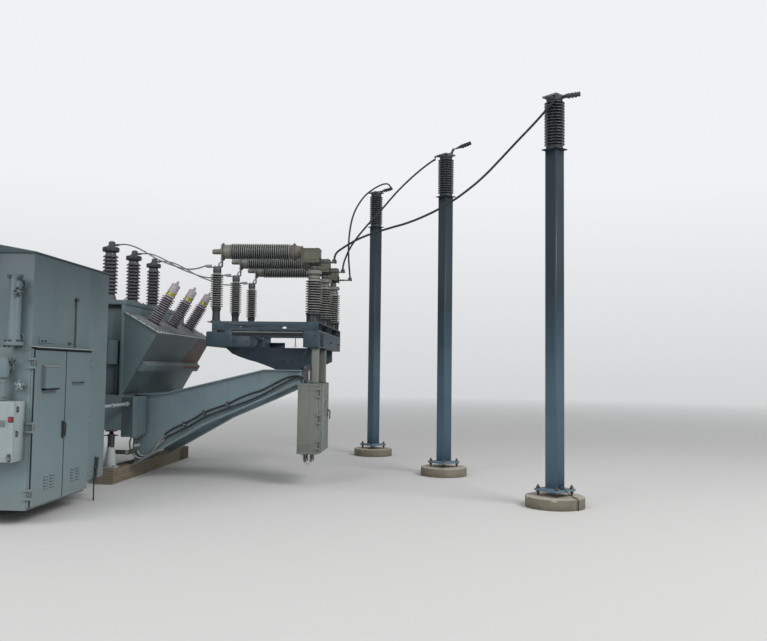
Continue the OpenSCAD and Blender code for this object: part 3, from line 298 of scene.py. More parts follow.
def addNoise(tree, vector, scale, detail=4.0, roughness=0.55, distortion=0.0):
    node = addNode(tree, "TexNoise", {"Vector": vector, "Scale": scale, "Detail": detail,
        "Roughness": roughness, "Distortion": distortion})
    return node.outputs["Fac"]


def stretched(tree, vector, scale):
    return addNode(tree, "Mapping", {"Vector": vector, "Scale": scale}).outputs[0]


def startGroup(name, inputs, outputs):
    # inputs: name to default, a number or a colour; outputs: name to socket kind
    group = bpy.data.node_groups.new(name, "ShaderNodeTree")
    for label, value in inputs.items():
        kind = "NodeSocketColor" if isinstance(value, tuple) else "NodeSocketFloat"
        socket = group.interface.new_socket(label, in_out="INPUT", socket_type=kind)
        socket.default_value = value
    for label, kind in outputs.items():
        group.interface.new_socket(label, in_out="OUTPUT", socket_type=kind)
    return group, group.nodes.new("NodeGroupInput"), group.nodes.new("NodeGroupOutput")


def tone(red, green, blue):
    # screen colour from 0 to 255 to the linear colour that shaders take
    def toLinear(value):
        share = value / 255
        return share / 12.92 if share <= 0.04045 else ((share + 0.055) / 1.055) ** 2.4
    return (toLinear(red), toLinear(green), toLinear(blue), 1.0)


# Wear along outer edges, from how far a rounded normal turns away from the true one
def buildEdgeWear():
    group, source, result = startGroup("edge wear", {"Width": 0.006, "Breakup": 9.0},
        {"Mask": "NodeSocketFloat"})
    rounded = addNode(group, "Bevel", {"Radius": source.outputs["Width"]}, samples=4)
    geometry = addNode(group, "NewGeometry")
    dot = addNode(group, "VectorMath", {0: rounded.outputs[0], 1: geometry.outputs["Normal"]},
        operation="DOT_PRODUCT").outputs["Value"]
    edge = addRange(group, dot, 0.995, 0.86)
    place = ownSpace(group)
    patches = addRange(group, addNoise(group, place, source.outputs["Breakup"], 6.0, 0.65), 0.46, 0.6)
    group.links.new(times(group, edge, patches, clamp=True), result.inputs["Mask"])
    return group


# Weathered coat: cloudy fading, rain streaks, dust on ledges, splashed dirt, rust specks, and darkening in
# crevices that is partly dirt and partly painted shade
def buildWeathering():
    group, source, result = startGroup("weathering", {"Base": (0.3, 0.3, 0.3, 1.0), "Faded": (0.4, 0.4, 0.4,
        1.0), "Dirt": (0.2, 0.18, 0.16, 1.0), "Rust Colour": (0.16, 0.06, 0.03, 1.0), "Fading": 0.6,
        "Streaks": 0.4, "Dust": 0.4, "Splash": 0.5, "Rust": 0.1, "Crevice Dirt And Shade": 0.5}, {"Colour": "NodeSocketColor",
        "Roughness": "NodeSocketFloat", "Height": "NodeSocketFloat", "Bare": "NodeSocketFloat"})
    place = ownSpace(group)
    geometry = addNode(group, "NewGeometry")
    normal = axes(group, geometry.outputs["Normal"])
    height = axes(group, place)["Z"]
    upright = minus(group, 1.0, addMath(group, "ABSOLUTE", normal["Z"]), True)
    upward = addRange(group, normal["Z"], 0.45, 0.95)

    clouds = addRange(group, addNoise(group, place, 1.3, 7.0, 0.62, 0.4), 0.36, 0.66)
    colour = mixColours(group, times(group, clouds, source.outputs["Fading"]), source.outputs["Base"],
        source.outputs["Faded"])
    broad = addNoise(group, stretched(group, place, (3.1, 3.1, 0.55)), 1.0, 5.0, 0.6)
    fine = addNoise(group, stretched(group, place, (26.0, 26.0, 1.1)), 1.0, 4.0, 0.6)
    runs = times(group, addRange(group, broad, 0.42, 0.68), addRange(group, fine, 0.44, 0.7))
    runs = times(group, times(group, runs, upright), source.outputs["Streaks"])
    colour = mixColours(group, runs, colour, source.outputs["Dirt"])

    grit = addNoise(group, place, 34.0, 6.0, 0.7)
    ledge = times(group, times(group, upward, source.outputs["Dust"]), addRange(group, grit, 0.3, 0.62))
    colour = mixColours(group, ledge, colour, tone(150, 134, 118))
    low = addRange(group, plus(group, height, times(group, grit, 0.35)), 0.62, 0.2)
    colour = mixColours(group, times(group, low, source.outputs["Splash"]), colour, tone(124, 108, 96))
    # crevices darkened from ambient occlusion: partly dirt, partly painted shade
    corners = addNode(group, "AmbientOcclusion", {"Distance": 0.09}, samples=6)
    creviceDirtAndShade = times(group, addRange(group, corners.outputs["AO"], 0.75, 0.25), source.outputs["Crevice Dirt And Shade"])
    colour = mixColours(group, creviceDirtAndShade, colour, source.outputs["Dirt"])

    specks = addNoise(group, place, 19.0, 8.0, 0.72)
    limit = minus(group, 0.78, times(group, source.outputs["Rust"], 0.3))
    rusty = addRange(group, minus(group, specks, limit), 0.0, 0.035)
    colour = mixColours(group, rusty, colour, source.outputs["Rust Colour"])
    group.links.new(colour, result.inputs["Colour"])

    rough = plus(group, times(group, clouds, 0.12), times(group, addMath(group, "MAXIMUM", ledge, rusty), 0.3))
    group.links.new(plus(group, rough, times(group, runs, 0.15)), result.inputs["Roughness"])
    peel = addNoise(group, place, 240.0, 2.0, 0.5)
    relief = plus(group, times(group, peel, 0.25), times(group, rusty, 1.0))
    group.links.new(relief, result.inputs["Height"])
    group.links.new(rusty, result.inputs["Bare"])
    return group


edgeWear = buildEdgeWear()
weathering = buildWeathering()


def useGroup(tree, group, inputs=None):
    return addNode(tree, "Group", inputs, node_tree=group)


def startMaterial(name, **shader):
    material = bpy.data.materials.new(name)
    material.use_nodes = True
    tree = material.node_tree
    surface = tree.nodes["Principled BSDF"]
    for key, value in shader.items():
        surface.inputs[key].default_value = value
    return material, tree, surface


def addBump(tree, surface, height, strength, distance):
    bump = addNode(tree, "Bump", {"Height": height, "Strength": strength, "Distance": distance})
    tree.links.new(bump.outputs["Normal"], surface.inputs["Normal"])


def makePaint(name, base, faded, rough, wear, fading, streaks, dust, rust, worn=(150, 156, 158)):
    material, tree, surface = startMaterial(name)
    surface.inputs["Specular IOR Level"].default_value = 0.4
    coat = useGroup(tree, weathering, {"Base": tone(*base), "Faded": tone(*faded), "Dirt": tone(62, 62, 58),
        "Fading": fading, "Streaks": streaks, "Dust": dust, "Splash": 0.5, "Rust": rust, "Crevice Dirt And Shade": 0.5})
    edges = useGroup(tree, edgeWear, {"Width": 0.005, "Breakup": 7.0})
    rubbed = times(tree, edges.outputs["Mask"], wear)
    colour = mixColours(tree, rubbed, coat.outputs["Colour"], tone(*worn))
    tree.links.new(colour, surface.inputs["Base Color"])
    tree.links.new(plus(tree, coat.outputs["Roughness"], rough, True), surface.inputs["Roughness"])
    addBump(tree, surface, coat.outputs["Height"], 0.5, 0.0012)
    return material


# Painted shading, tinted brown, that covers the far part of the faces that look down
def paintBrownShading(material, border):
    tree, surface = material.node_tree, material.node_tree.nodes["Principled BSDF"]
    place = ownSpace(tree)
    spot = axes(tree, place)
    normal = axes(tree, facing(tree))
    waver = addRange(tree, addNoise(tree, place, 7.0, 4.0, 0.6), 0.3, 0.7, -0.012, 0.012)
    slant = times(tree, addRange(tree, spot["Z"], 1.70, 2.0), -0.24)
    across = plus(tree, plus(tree, spot["Y"], waver), slant)
    beyond = times(tree, addRange(tree, across, border, border + 0.008), addRange(tree, spot["Z"], 1.52, 1.53))
    below = addRange(tree, normal["Z"], 0.15, 0.0)
    strength = addRange(tree, addNoise(tree, place, 2.6, 6.0, 0.6), 0.3, 0.7, 0.72, 1.0)
    # the brown zone is painted shading, not a stain on the paint
    brownShading = times(tree, times(tree, beyond, below), strength)
    paintedLightTone = mixColours(tree, addRange(tree, spot["Z"], 1.72, 1.95), tone(86, 54, 32), tone(66, 50, 34))
    painted = surface.inputs["Base Color"].links[0].from_socket
    tree.links.new(mixColours(tree, brownShading, painted, paintedLightTone), surface.inputs["Base Color"])


# Painted light and shade by height: one tone towards the foot and another towards the top, used for a lit foot
# and a shaded top; each holds the height where it starts, the height where it is full, its share there and its
# tone
def shadeByHeight(material, *lightAndShadeTones):
    tree, surface = material.node_tree, material.node_tree.nodes["Principled BSDF"]
    place = ownSpace(tree)
    height = axes(tree, place)["Z"]
    colour = surface.inputs["Base Color"].links[0].from_socket
    for start, full, share, paintedLightTone in lightAndShadeTones:
        colour = mixColours(tree, addRange(tree, height, start, full, 0.0, share), colour, tone(*paintedLightTone))
    tree.links.new(colour, surface.inputs["Base Color"])


def makeMetal(name, base, faded, rough, metallic=0.85, rust=0.25):
    material, tree, surface = startMaterial(name)
    coat = useGroup(tree, weathering, {"Base": tone(*base), "Faded": tone(*faded), "Dirt": tone(58, 54, 50),
        "Fading": 0.8, "Streaks": 0.3, "Dust": 0.35, "Splash": 0.3, "Rust": rust, "Crevice Dirt And Shade": 0.6})
    tree.links.new(coat.outputs["Colour"], surface.inputs["Base Color"])
    tree.links.new(plus(tree, coat.outputs["Roughness"], rough, True), surface.inputs["Roughness"])
    bare = minus(tree, 1.0, coat.outputs["Bare"], True)
    tree.links.new(times(tree, bare, metallic), surface.inputs["Metallic"])
    addBump(tree, surface, coat.outputs["Height"], 0.6, 0.0015)
    return material


# Glazed porcelain: dust on the sheds' upper sides, painted shade on the undersides, and soot with painted shade
# between the sheds
def makeGlaze(name, glaze, shade, dust, soot=0.85, gap=0.045):
    material, tree, surface = startMaterial(name)
    surface.inputs["Coat Weight"].default_value = 0.35
    surface.inputs["Coat Roughness"].default_value = 0.22
    place = ownSpace(tree)
    geometry = addNode(tree, "NewGeometry")
    upward = axes(tree, geometry.outputs["Normal"])["Z"]
    mottle = addRange(tree, addNoise(tree, place, 11.0, 6.0, 0.6), 0.35, 0.65)
    colour = mixColours(tree, mottle, tone(*glaze), tone(*shade))
    # faces that look down are darkened: painted shade
    under = times(tree, addRange(tree, upward, 0.0, -0.8), 0.45)
    colour = mixColours(tree, under, colour, tone(34, 33, 36))
    film = times(tree, addRange(tree, upward, 0.1, 0.85), addRange(tree, addNoise(tree, place, 42.0, 5.0, 0.7),
        0.28, 0.66))
    film = times(tree, film, 0.6)
    colour = mixColours(tree, film, colour, tone(*dust))
    # darkening between the sheds from ambient occlusion, scaled by soot: partly soot, partly painted shade
    corners = addNode(tree, "AmbientOcclusion", {"Distance": gap}, samples=4)
    grooveSootAndShade = times(tree, addRange(tree, corners.outputs["AO"], 0.78, 0.42), soot)
    colour = mixColours(tree, grooveSootAndShade, colour, tone(22, 22, 26))
    tree.links.new(colour, surface.inputs["Base Color"])
    tree.links.new(plus(tree, times(tree, film, 0.4), 0.26), surface.inputs["Roughness"])
    addBump(tree, surface, addNoise(tree, place, 90.0, 3.0, 0.5), 0.15, 0.001)
    return material


def makeConcrete():
    material, tree, surface = startMaterial("concrete")
    surface.inputs["Specular IOR Level"].default_value = 0.2
    place = ownSpace(tree)
    clouds = addRange(tree, addNoise(tree, place, 4.0, 8.0, 0.65), 0.35, 0.65)
    colour = mixColours(tree, clouds, tone(160, 151, 138), tone(188, 179, 165))
    sand = addNoise(tree, place, 190.0, 4.0, 0.7)
    colour = mixColours(tree, addRange(tree, sand, 0.38, 0.62, 0.0, 0.35), colour, tone(112, 104, 94))
    cells = addNode(tree, "TexVoronoi", {"Vector": place, "Scale": 26.0})
    pores = times(tree, addRange(tree, cells.outputs["Distance"], 0.16, 0.1), addRange(tree, addNoise(tree,
        place, 9.0, 2.0), 0.5, 0.56))
    colour = mixColours(tree, pores, colour, tone(66, 60, 54))
    height = axes(tree, place)["Z"]
    damp = addRange(tree, plus(tree, height, times(tree, clouds, 0.05)), 0.085, 0.03)
    colour = mixColours(tree, times(tree, damp, 0.6), colour, tone(104, 92, 78))
    # faces that stand upright are darker than the tops: painted shade on the pier's sides
    upward = axes(tree, facing(tree))["Z"]
    colour = mixColours(tree, addRange(tree, upward, 0.8, 0.3, 0.0, 0.62), colour, tone(88, 86, 72))
    tree.links.new(colour, surface.inputs["Base Color"])
    surface.inputs["Roughness"].default_value = 0.92
    relief = minus(tree, times(tree, sand, 0.3), pores)
    addBump(tree, surface, relief, 0.7, 0.003)
    return material


def makeTimber(name, shade):
    # shade from 0 for pale weathered wood to 1 for dark wood
    material, tree, surface = startMaterial(name)
    surface.inputs["Specular IOR Level"].default_value = 0.2
    place = ownSpace(tree)
    along = stretched(tree, place, (17.0, 1.1, 17.0))
    rings = addNode(tree, "TexWave", {"Vector": along, "Scale": 0.55, "Distortion": 7.0, "Detail": 4.0,
        "Detail Scale": 1.4}, bands_direction="Z")
    colour = mixColours(tree, rings.outputs["Fac"], tone(112, 104, 88), tone(138, 129, 110))
    fibres = addNoise(tree, stretched(tree, place, (160.0, 4.0, 160.0)), 1.0, 4.0, 0.7)
    colour = mixColours(tree, addRange(tree, fibres, 0.4, 0.66, 0.0, 0.4), colour, tone(88, 81, 70))
    cracks = addNoise(tree, stretched(tree, place, (38.0, 1.4, 38.0)), 1.0, 2.0, 0.5)
    split = times(tree, addRange(tree, cracks, 0.7, 0.73), addRange(tree, addNoise(tree, place, 3.0, 2.0), 0.42,
        0.55))
    colour = mixColours(tree, split, colour, tone(38, 33, 28))
    silver = addRange(tree, addNoise(tree, place, 2.4, 6.0, 0.6), 0.45, 0.7, 0.0, 0.6)
    colour = mixColours(tree, silver, colour, tone(134, 128, 118))
    colour = mixColours(tree, shade, colour, tone(60, 54, 50))
    tree.links.new(colour, surface.inputs["Base Color"])
    surface.inputs["Roughness"].default_value = 0.86
    relief = minus(tree, times(tree, fibres, 0.5), times(tree, split, 2.0))
    addBump(tree, surface, relief, 0.5, 0.002)
    return material


# Rubber, plastic and conductor: a plain body with fine mottling
def makePlain(name, first, second, rough, scale=30.0, bump=0.2, coat=0.0):
    material, tree, surface = startMaterial(name)
    surface.inputs["Coat Weight"].default_value = coat
    place = ownSpace(tree)
    mottle = addNoise(tree, place, scale, 6.0, 0.65)
    spread = addRange(tree, mottle, 0.32, 0.68)
    tree.links.new(mixColours(tree, spread, tone(*first), tone(*second)), surface.inputs["Base Color"])
    tree.links.new(addRange(tree, mottle, 0.2, 0.8, rough - 0.08, rough + 0.12), surface.inputs["Roughness"])
    addBump(tree, surface, mottle, bump, 0.001)
    return material


# Twisted wires of a bare conductor, as bands that wind round its own length, with painted shade in the lines
# between the wires
def makeStranded(name, first, second, rough, metallic):
    material, tree, surface = startMaterial(name, Metallic=metallic)
    place = ownSpace(tree)
    lay = addNode(tree, "TexWave", {"Vector": place, "Scale": 46.0, "Distortion": 0.6, "Detail": 1.0},
        bands_direction="DIAGONAL")
    soot = addRange(tree, addNoise(tree, place, 6.0, 5.0, 0.6), 0.35, 0.65)
    colour = mixColours(tree, soot, tone(*first), tone(*second))
    # dark lines between the wires: painted shade
    colour = mixColours(tree, addRange(tree, lay.outputs["Fac"], 0.25, 0.0, 0.0, 0.6), colour, tone(16, 16, 17))
    tree.links.new(colour, surface.inputs["Base Color"])
    tree.links.new(addRange(tree, soot, 0.0, 1.0, rough, rough + 0.15), surface.inputs["Roughness"])
    addBump(tree, surface, lay.outputs["Fac"], 0.6, 0.002)
    return material


paints = {
    # base tone, faded tone, rough, wear, fading, streaks, dust, rust and where it differs the worn tone
    "column_paint": ((72, 98, 114), (92, 116, 129), 0.42, 0.35, 0.6, 0.35, 0.3, 0.04),
    "enclosure_paint": ((100, 117, 122), (116, 130, 133), 0.46, 0.3, 0.5, 0.16, 0.45, 0.03),
    "tank_paint": ((89, 106, 112), (106, 120, 124), 0.48, 0.55, 0.7, 0.5, 0.5, 0.1),
    "brown_shaded_paint": ((89, 106, 112), (106, 120, 124), 0.48, 0.55, 0.7, 0.5, 0.5, 0.1),
    "beam_paint": ((122, 143, 151), (141, 158, 162), 0.46, 0.5, 0.75, 0.35, 0.4, 0.06),
    "frame_paint": ((42, 59, 70), (57, 75, 86), 0.44, 0.6, 0.7, 0.4, 0.35, 0.05, (112, 126, 132)),
    "cabinet_paint": ((108, 112, 105), (124, 127, 118), 0.44, 0.5, 0.6, 0.35, 0.3, 0.05),
    "cap_paint": ((150, 142, 148), (182, 175, 178), 0.35, 0.2, 0.8, 0.4, 0.2, 0.02),
    "light_paint": ((176, 184, 186), (196, 200, 198), 0.42, 0.3, 0.6, 0.35, 0.25, 0.05),
    "relay_paint": ((146, 158, 161), (163, 172, 173), 0.42, 0.25, 0.6, 0.3, 0.25, 0.02),
    "olive_paint": ((78, 86, 82), (96, 104, 98), 0.5, 0.4, 0.6, 0.4, 0.4, 0.1),
    "head_paint": ((85, 87, 74), (98, 99, 85), 0.5, 0.35, 0.6, 0.4, 0.4, 0.12),
    "rusty_paint": ((92, 90, 86), (112, 106, 99), 0.6, 0.7, 0.8, 0.4, 0.4, 0.4, (128, 92, 76)),
}
finishes = {name: makePaint(name.replace("_", " "), *values) for name, values in paints.items()}
# painted light at the foot and painted shade towards the top of the columns and the enclosure
shadeByHeight(finishes["column_paint"], (1.1, 0.2, 0.60, (100, 132, 152)), (1.2, 2.5, 0.88, (22, 34, 40)))
shadeByHeight(finishes["enclosure_paint"], (1.6, 0.6, 0.35, (132, 152, 156)), (1.9, 2.70, 0.85, (54, 66, 72)))
paintBrownShading(finishes["brown_shaded_paint"], 0.17)
finishes.update({"concrete": makeConcrete(), "timber": makeTimber("timber", 0.0),
    "dark_timber": makeTimber("dark timber", 0.6), "cast_metal": makeMetal("cast metal", (112, 113, 106), (134,
    134, 125), 0.5, metallic=0.3), "galvanised": makeMetal("galvanised steel", (118, 122, 123), (146, 149, 148),
    0.4), "dark_steel": makeMetal("dark steel", (58, 63, 66), (82, 86, 88), 0.45, metallic=0.5),
    "bolt_steel": makeMetal("bolt steel", (92, 90, 86), (116, 112, 105), 0.5, rust=0.4),
    "anchor_steel": makeMetal("anchor steel", (98, 94, 88), (118, 112, 104), 0.5, rust=0.6),
    "grey_porcelain": makeGlaze("grey porcelain", (55, 59, 65), (67, 70, 75), (106, 105, 103)),
    "light_porcelain": makeGlaze("light porcelain", (114, 118, 117), (130, 132, 128), (162, 159, 148), 0.95,
    0.03), "brown_porcelain": makeGlaze("brown porcelain", (112, 106, 114), (134, 128, 136), (188, 182, 186),
    1.0, 0.024), "dark_porcelain": makeGlaze("dark porcelain", (64, 63, 73), (78, 76, 85), (120, 117, 123), 0.9,
    0.035), "bare_conductor": makeStranded("bare conductor", (34, 36, 39), (52, 54, 56), 0.5, 0.3),
    "lead_conductor": makeStranded("lead conductor", (132, 134, 134), (154, 155, 153), 0.4, 0.7),
    "sight_glass": makePlain("sight glass", (168, 168, 18), (206, 202, 40), 0.15, 12.0, 0.05, coat=0.6),
    "cable_jacket": makePlain("cable jacket", (34, 36, 38), (56, 58, 58), 0.55),
    "pale_jacket": makePlain("pale jacket", (150, 152, 150), (176, 177, 173), 0.5),
    "pale_patch": makePlain("pale patch", (150, 126, 126), (172, 148, 146), 0.6),
    "shadow_gap": makePlain("shadow gap", (20, 22, 23), (30, 32, 33), 0.8),
    "red_plastic": makePlain("red plastic", (150, 22, 40), (172, 34, 52), 0.4, coat=0.2)})
print("finishes made:", len(finishes))

nodeFinishes = {"bushing_nose": "brown_shaded_paint", "nose_channel": "brown_shaded_paint", "relay_box": "relay_paint"}
for name, node in frame["nodes"].items():
    node.data.materials.clear()
    node.data.materials.append(finishes[nodeFinishes.get(name, subpartSlots[name])])

# Free conductors: route as distance along their plan line and height, in metres
jumperSettings = {"diameter": 0.028, "terminalX": -1.520, "terminalYs": (-1.307, -0.240, 0.827),
    "lugReach": 0.176, "clampReach": 0.300, "clampTurn": -25.0}
jumperRuns = [drawn([(0, 3030), (8, 3070), (40, 3118), (110, 3160), (210, 3208), (340, 3262), (500, 3310), (690,
    3352), (900, 3390), (1120, 3428), (1340, 3485), (1560, 3560), (1780, 3657), (1990, 3775), (2190, 3912),
    (2400, 4090), (2620, 4285), (2850, 4485), (3098, 4724)]), drawn([(0, 3030), (4, 3080), (18, 3140), (42,
    3210), (75, 3290), (115, 3370), (165, 3450), (225, 3535), (300, 3630), (390, 3740), (490, 3855), (590,
    3970), (700, 4105), (820, 4245), (950, 4380), (1090, 4515), (1230, 4635), (1364, 4738)]), drawn([(0, 3030),
    (-18, 3110), (-42, 3220), (-62, 3340), (-72, 3460), (-68, 3580), (-50, 3710), (-15, 3840), (40, 3970), (115,
    4090), (215, 4205), (330, 4310), (470, 4420), (640, 4530), (840, 4635), (1050, 4735), (1270, 4825), (1460,
    4885), (1600, 4908), (1722, 4882)])]


def makeConductor(name, points, diameter, material, node):
    data = bpy.data.curves.new(name, "CURVE")
    data.dimensions = "3D"
    data.bevel_depth = diameter / 2
    data.bevel_resolution = 3
    data.use_fill_caps = True
    data.resolution_u = 5
    spline = data.splines.new("BEZIER")
    spline.bezier_points.add(len(points) - 1)
    for knot, point in zip(spline.bezier_points, points):
        knot.co = point
        knot.handle_left_type = knot.handle_right_type = "AUTO"
    data.materials.append(material)
    piece = bpy.data.objects.new(name, data)
    scene.collection.objects.link(piece)
    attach(piece, "bay")
    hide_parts(node)
    return piece


def makeJumpers(diameter, terminalX, terminalYs, lugReach, clampReach, clampTurn):
    turn = radians(clampTurn)
    tops = [columnPlaces[0] + Vector((0, -lugReach, 0)), columnPlaces[1] + Vector((-lugReach, 0, 0)),
        columnPlaces[2] + clampReach * Vector((cos(turn), sin(turn), 0))]
    for k, run in enumerate(jumperRuns):
        start = Vector((terminalX, terminalYs[k], 0))
        along = (tops[k] - start).normalized()
        points = [start + along * s + Vector((0, 0, z)) for s, z in run]
        makeConductor(f"jumperCable{k + 1}", points, diameter, finishes["bare_conductor"],
            f"jumper_{k + 1}")


leadSettings = {"diameter": 0.020, "startX": -4.582, "endX": -3.212, "startZ": 3.248, "span": 1.342,
    "startYs": (-1.110, -0.240, 0.630), "endYs": (-1.307, -0.240, 0.827)}
leadRun = drawn([(0, 0), (50, 3), (120, 0), (200, -20), (290, -56), (380, -102), (470, -154), (560, -205), (660,
    -250), (770, -291), (880, -328), (980, -352), (1070, -358), (1150, -349), (1220, -331), (1275, -316), (1342,
    -315.5)])


def makeLeads(diameter, startX, endX, startZ, span, startYs, endYs):
    for k in range(3):
        points = []
        for s, drop in leadRun:
            share = s / span
            points.append(Vector((startX + share * (endX - startX), startYs[k] + share * (endYs[k]
                - startYs[k]), startZ + drop)))
        makeConductor(f"leadCable{k + 1}", points, diameter, finishes["lead_conductor"],
            f"lead_{k + 1}")


makeJumpers(**jumperSettings)
makeLeads(**leadSettings)
print("conductors hung")


def low(node):
    return Vector(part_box(node)[0])


def high(node):
    return Vector(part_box(node)[1])


def lanesOf(node, radius):
    # middle lines of three like things that stand in a row along Y
    first, last = low(node).y + radius, high(node).y - radius
    return [first, (first + last) / 2, last]


def shift(x=0.0, y=0.0, z=0.0):
    return Matrix.Translation((x, y, z))


def turned(degrees, axis="Z"):
    return Matrix.Rotation(radians(degrees), 4, axis)


def addBent(bm, points, radius, sides, steps, place=flat):
    addTube(bm, [place @ point for point in smoothPath(points, steps)], radius, sides)


def addNut(bm, place, size, height):
    reach = size / sqrt(3)
    addLathe(bm, [(0, 0), (reach * 0.88, 0), (reach, height * 0.12), (reach, height * 0.88), (reach * 0.88,
        height), (0, height)], 6, place)


def addThread(bm, place, radius, low, high, pitch, sides=12):
    # screw thread as close rings, with a chamfered tip
    outline = [(0, low), (radius * 0.86, low)]
    for k in range(int((high - low) / pitch)):
        outline += [(radius, low + (k + 0.35) * pitch), (radius * 0.86, low + (k + 0.95) * pitch)]
    addLathe(bm, outline + [(radius * 0.7, high), (0, high)], sides, place)


def addWeld(bm, path, radius, seed=1, closed=False):
    # weld bead: a thin tube along the joint whose width ripples
    draws = random.Random(seed)
    points = [Vector(p) for p in path]
    fine = []
    pairs = list(zip(points, points[1:])) + ([(points[-1], points[0])] if closed else [])
    for a, b in pairs:
        count = max(2, int((b - a).length / 0.02))
        fine += [a.lerp(b, k / count) for k in range(count)]
    if not closed:
        fine.append(points[-1])
    addTube(bm, fine, [radius * draws.uniform(0.8, 1.15) for _ in fine], 6, closed)


def shedOutline(low, high, core, reach, count, end=0.01):
    # porcelain from low to high: a straight core with drooping sheds, each with a drip lip
    pitch = (high - low - 2 * end) / count
    lip = pitch * 0.13
    outline = [(0, low), (core * 0.97, low), (core, low + 0.003)]
    for k in range(count):
        foot = low + end + k * pitch
        outline += [(core, foot + pitch * 0.1), (core + (reach - core) * 0.25, foot + pitch * 0.2),
            (reach - lip * 2.4, foot + pitch * 0.2)]
        for step in range(6):
            angle = radians(step * 40 - 120)
            outline.append((reach - lip + lip * cos(angle), foot + pitch * 0.13 + lip + lip * sin(angle)))
        outline += [(core + (reach - core) * 0.5, foot + pitch * 0.6), (core + (reach - core) * 0.12,
            foot + pitch * 0.8), (core, foot + pitch * 0.94)]
    return outline + [(core, high - 0.003), (core * 0.97, high), (0, high)]


def roundedOutline(low, high, radius, steps=4):
    corners = ((high[0] - radius, high[1] - radius, 0), (low[0] + radius, high[1] - radius, 90),
        (low[0] + radius, low[1] + radius, 180), (high[0] - radius, low[1] + radius, 270))
    return [(x + radius * cos(radians(turn + 90 * k / steps)), y + radius * sin(radians(turn + 90 * k / steps)))
        for x, y, turn in corners for k in range(steps + 1)]


def addPlate(bm, low, high, radius, start, end, place=flat):
    addPrism(bm, roundedOutline(low, high, radius), start, end, place)


def addEach(add, bm, place, xs, ys, z, *sizes):
    # the same fastener wherever a line of xs crosses one of ys
    for x in xs:
        for y in ys:
            add(bm, place @ shift(x, y, z), *sizes)


def addEye(bm, centre, radius, wire, count, sides):
    # ring of round bar that stands in X and Z
    x, y, z = centre
    ring = [(x + radius * cos(a), y, z + radius * sin(a)) for a in (2 * pi * k / count for k in range(count))]
    addTube(bm, ring, wire, sides, closed=True)


# Columns with their footings
columnSettings = {"turn": 43.0, "tubeSide": 0.166, "anchorSquare": 0.270, "anchorRod": 0.024, "nut": 0.036,
    "thread": 0.003, "pierTop": 0.125, "pierRadius": 0.340, "washerRadius": 0.027, "linePlateCircle": 0.090}


def makeColumnFootings(turn, tubeSide, anchorSquare, anchorRod, nut, thread, pierTop, washerRadius, **others):
    plateLow, plateHigh = low("column_base_plates").z, high("column_base_plates").z
    tip = high("anchor_bolts").z
    half = anchorSquare / 2
    bolts, welds = meshes(2)
    for seed, column in enumerate(columnPlaces):
        place = Matrix.Translation(column) @ turned(turn)
        for x, y in ((-half, -half), (-half, half), (half, -half), (half, half)):
            at = place @ shift(x, y)
            addThread(bolts, at, anchorRod / 2, pierTop - 0.004, tip - 0.016, thread)
            washer = [(0, 0), (washerRadius, 0), (washerRadius, 0.005), (0, 0.005)]
            for base, nutHeight in ((plateLow - 0.024, 0.019), (plateHigh + 0.005, 0.0215)):
                addNut(bolts, at @ shift(z=base) @ turned(17 * (seed + 1)), nut, nutHeight)
            addLathe(bolts, washer, 20, at @ shift(z=plateLow - 0.005))
            addLathe(bolts, washer, 20, at @ shift(z=plateHigh))
        side = tubeSide / 2
        ring = [place @ Vector((x * side, y * side, plateHigh + 0.002)) for x, y in roundedOutline((-1, -1), (1,
            1), 0.24, 5)]
        addWeld(welds, ring, 0.006, seed, closed=True)
        under = [p + Vector((0, 0, low("column_cap_plates").z - plateHigh - 0.003)) for p in ring]
        addWeld(welds, under, 0.005, seed + 9, closed=True)
    makePiece("anchorHardware", bolts, "anchor_steel", 0, "bolt_steel", stands=["anchor_bolts"], sharpAngle=25)
    makePiece("columnWelds", welds, "column_paint")


def makePiers(pierTop, pierRadius, **others):
    radius, top = pierRadius, pierTop
    for number, column in enumerate(columnPlaces):
        bm = bmesh.new()
        outline = [(0, 0), (radius, 0)]
        outline += [(radius, top * k / 14) for k in range(1, 13)]
        outline += drawn([(-3, -5), (-11, -1.2), (-20, 0)], radius, top)
        outline += [(radius * k / 12, top) for k in range(11, 0, -1)] + [(0, top)]
        addLathe(bm, outline, 120)
        for vertex in bm.verts:
            spread = Vector((vertex.co.x, vertex.co.y, 0))
            if spread.length < radius * 0.5:
                continue
            rough = noise.fractal(vertex.co * 14 + Vector((number * 7, 0, 0)), 1.0, 2.2, 5)
            chip = max(0.0, noise.noise(vertex.co * 9 + Vector((0, number * 5, 3))) - 0.32)
            edge = 1.0 if vertex.co.z > top - 0.02 and spread.length > radius - 0.03 else 0.1
            inwards = 0.0012 * (rough - 0.6) - 0.05 * chip * edge
            vertex.co += spread.normalized() * min(inwards, 0.0)
            if edge == 1.0:
                vertex.co.z -= 0.03 * chip
        bmesh.ops.transform(bm, matrix=Matrix.Translation(column), verts=bm.verts)
        makePiece(f"concretePier{number + 1}", bm, "concrete", stands=["concrete_piers"], sharpAngle=50)


columnInsulatorSettings = {"core": 0.088, "reach": 0.120, "sheds": 15, "fitting": 0.040, "flange": 0.100,
    "neck": 0.088, "head": 0.100, "bolt": 0.014, "circle": 0.092}


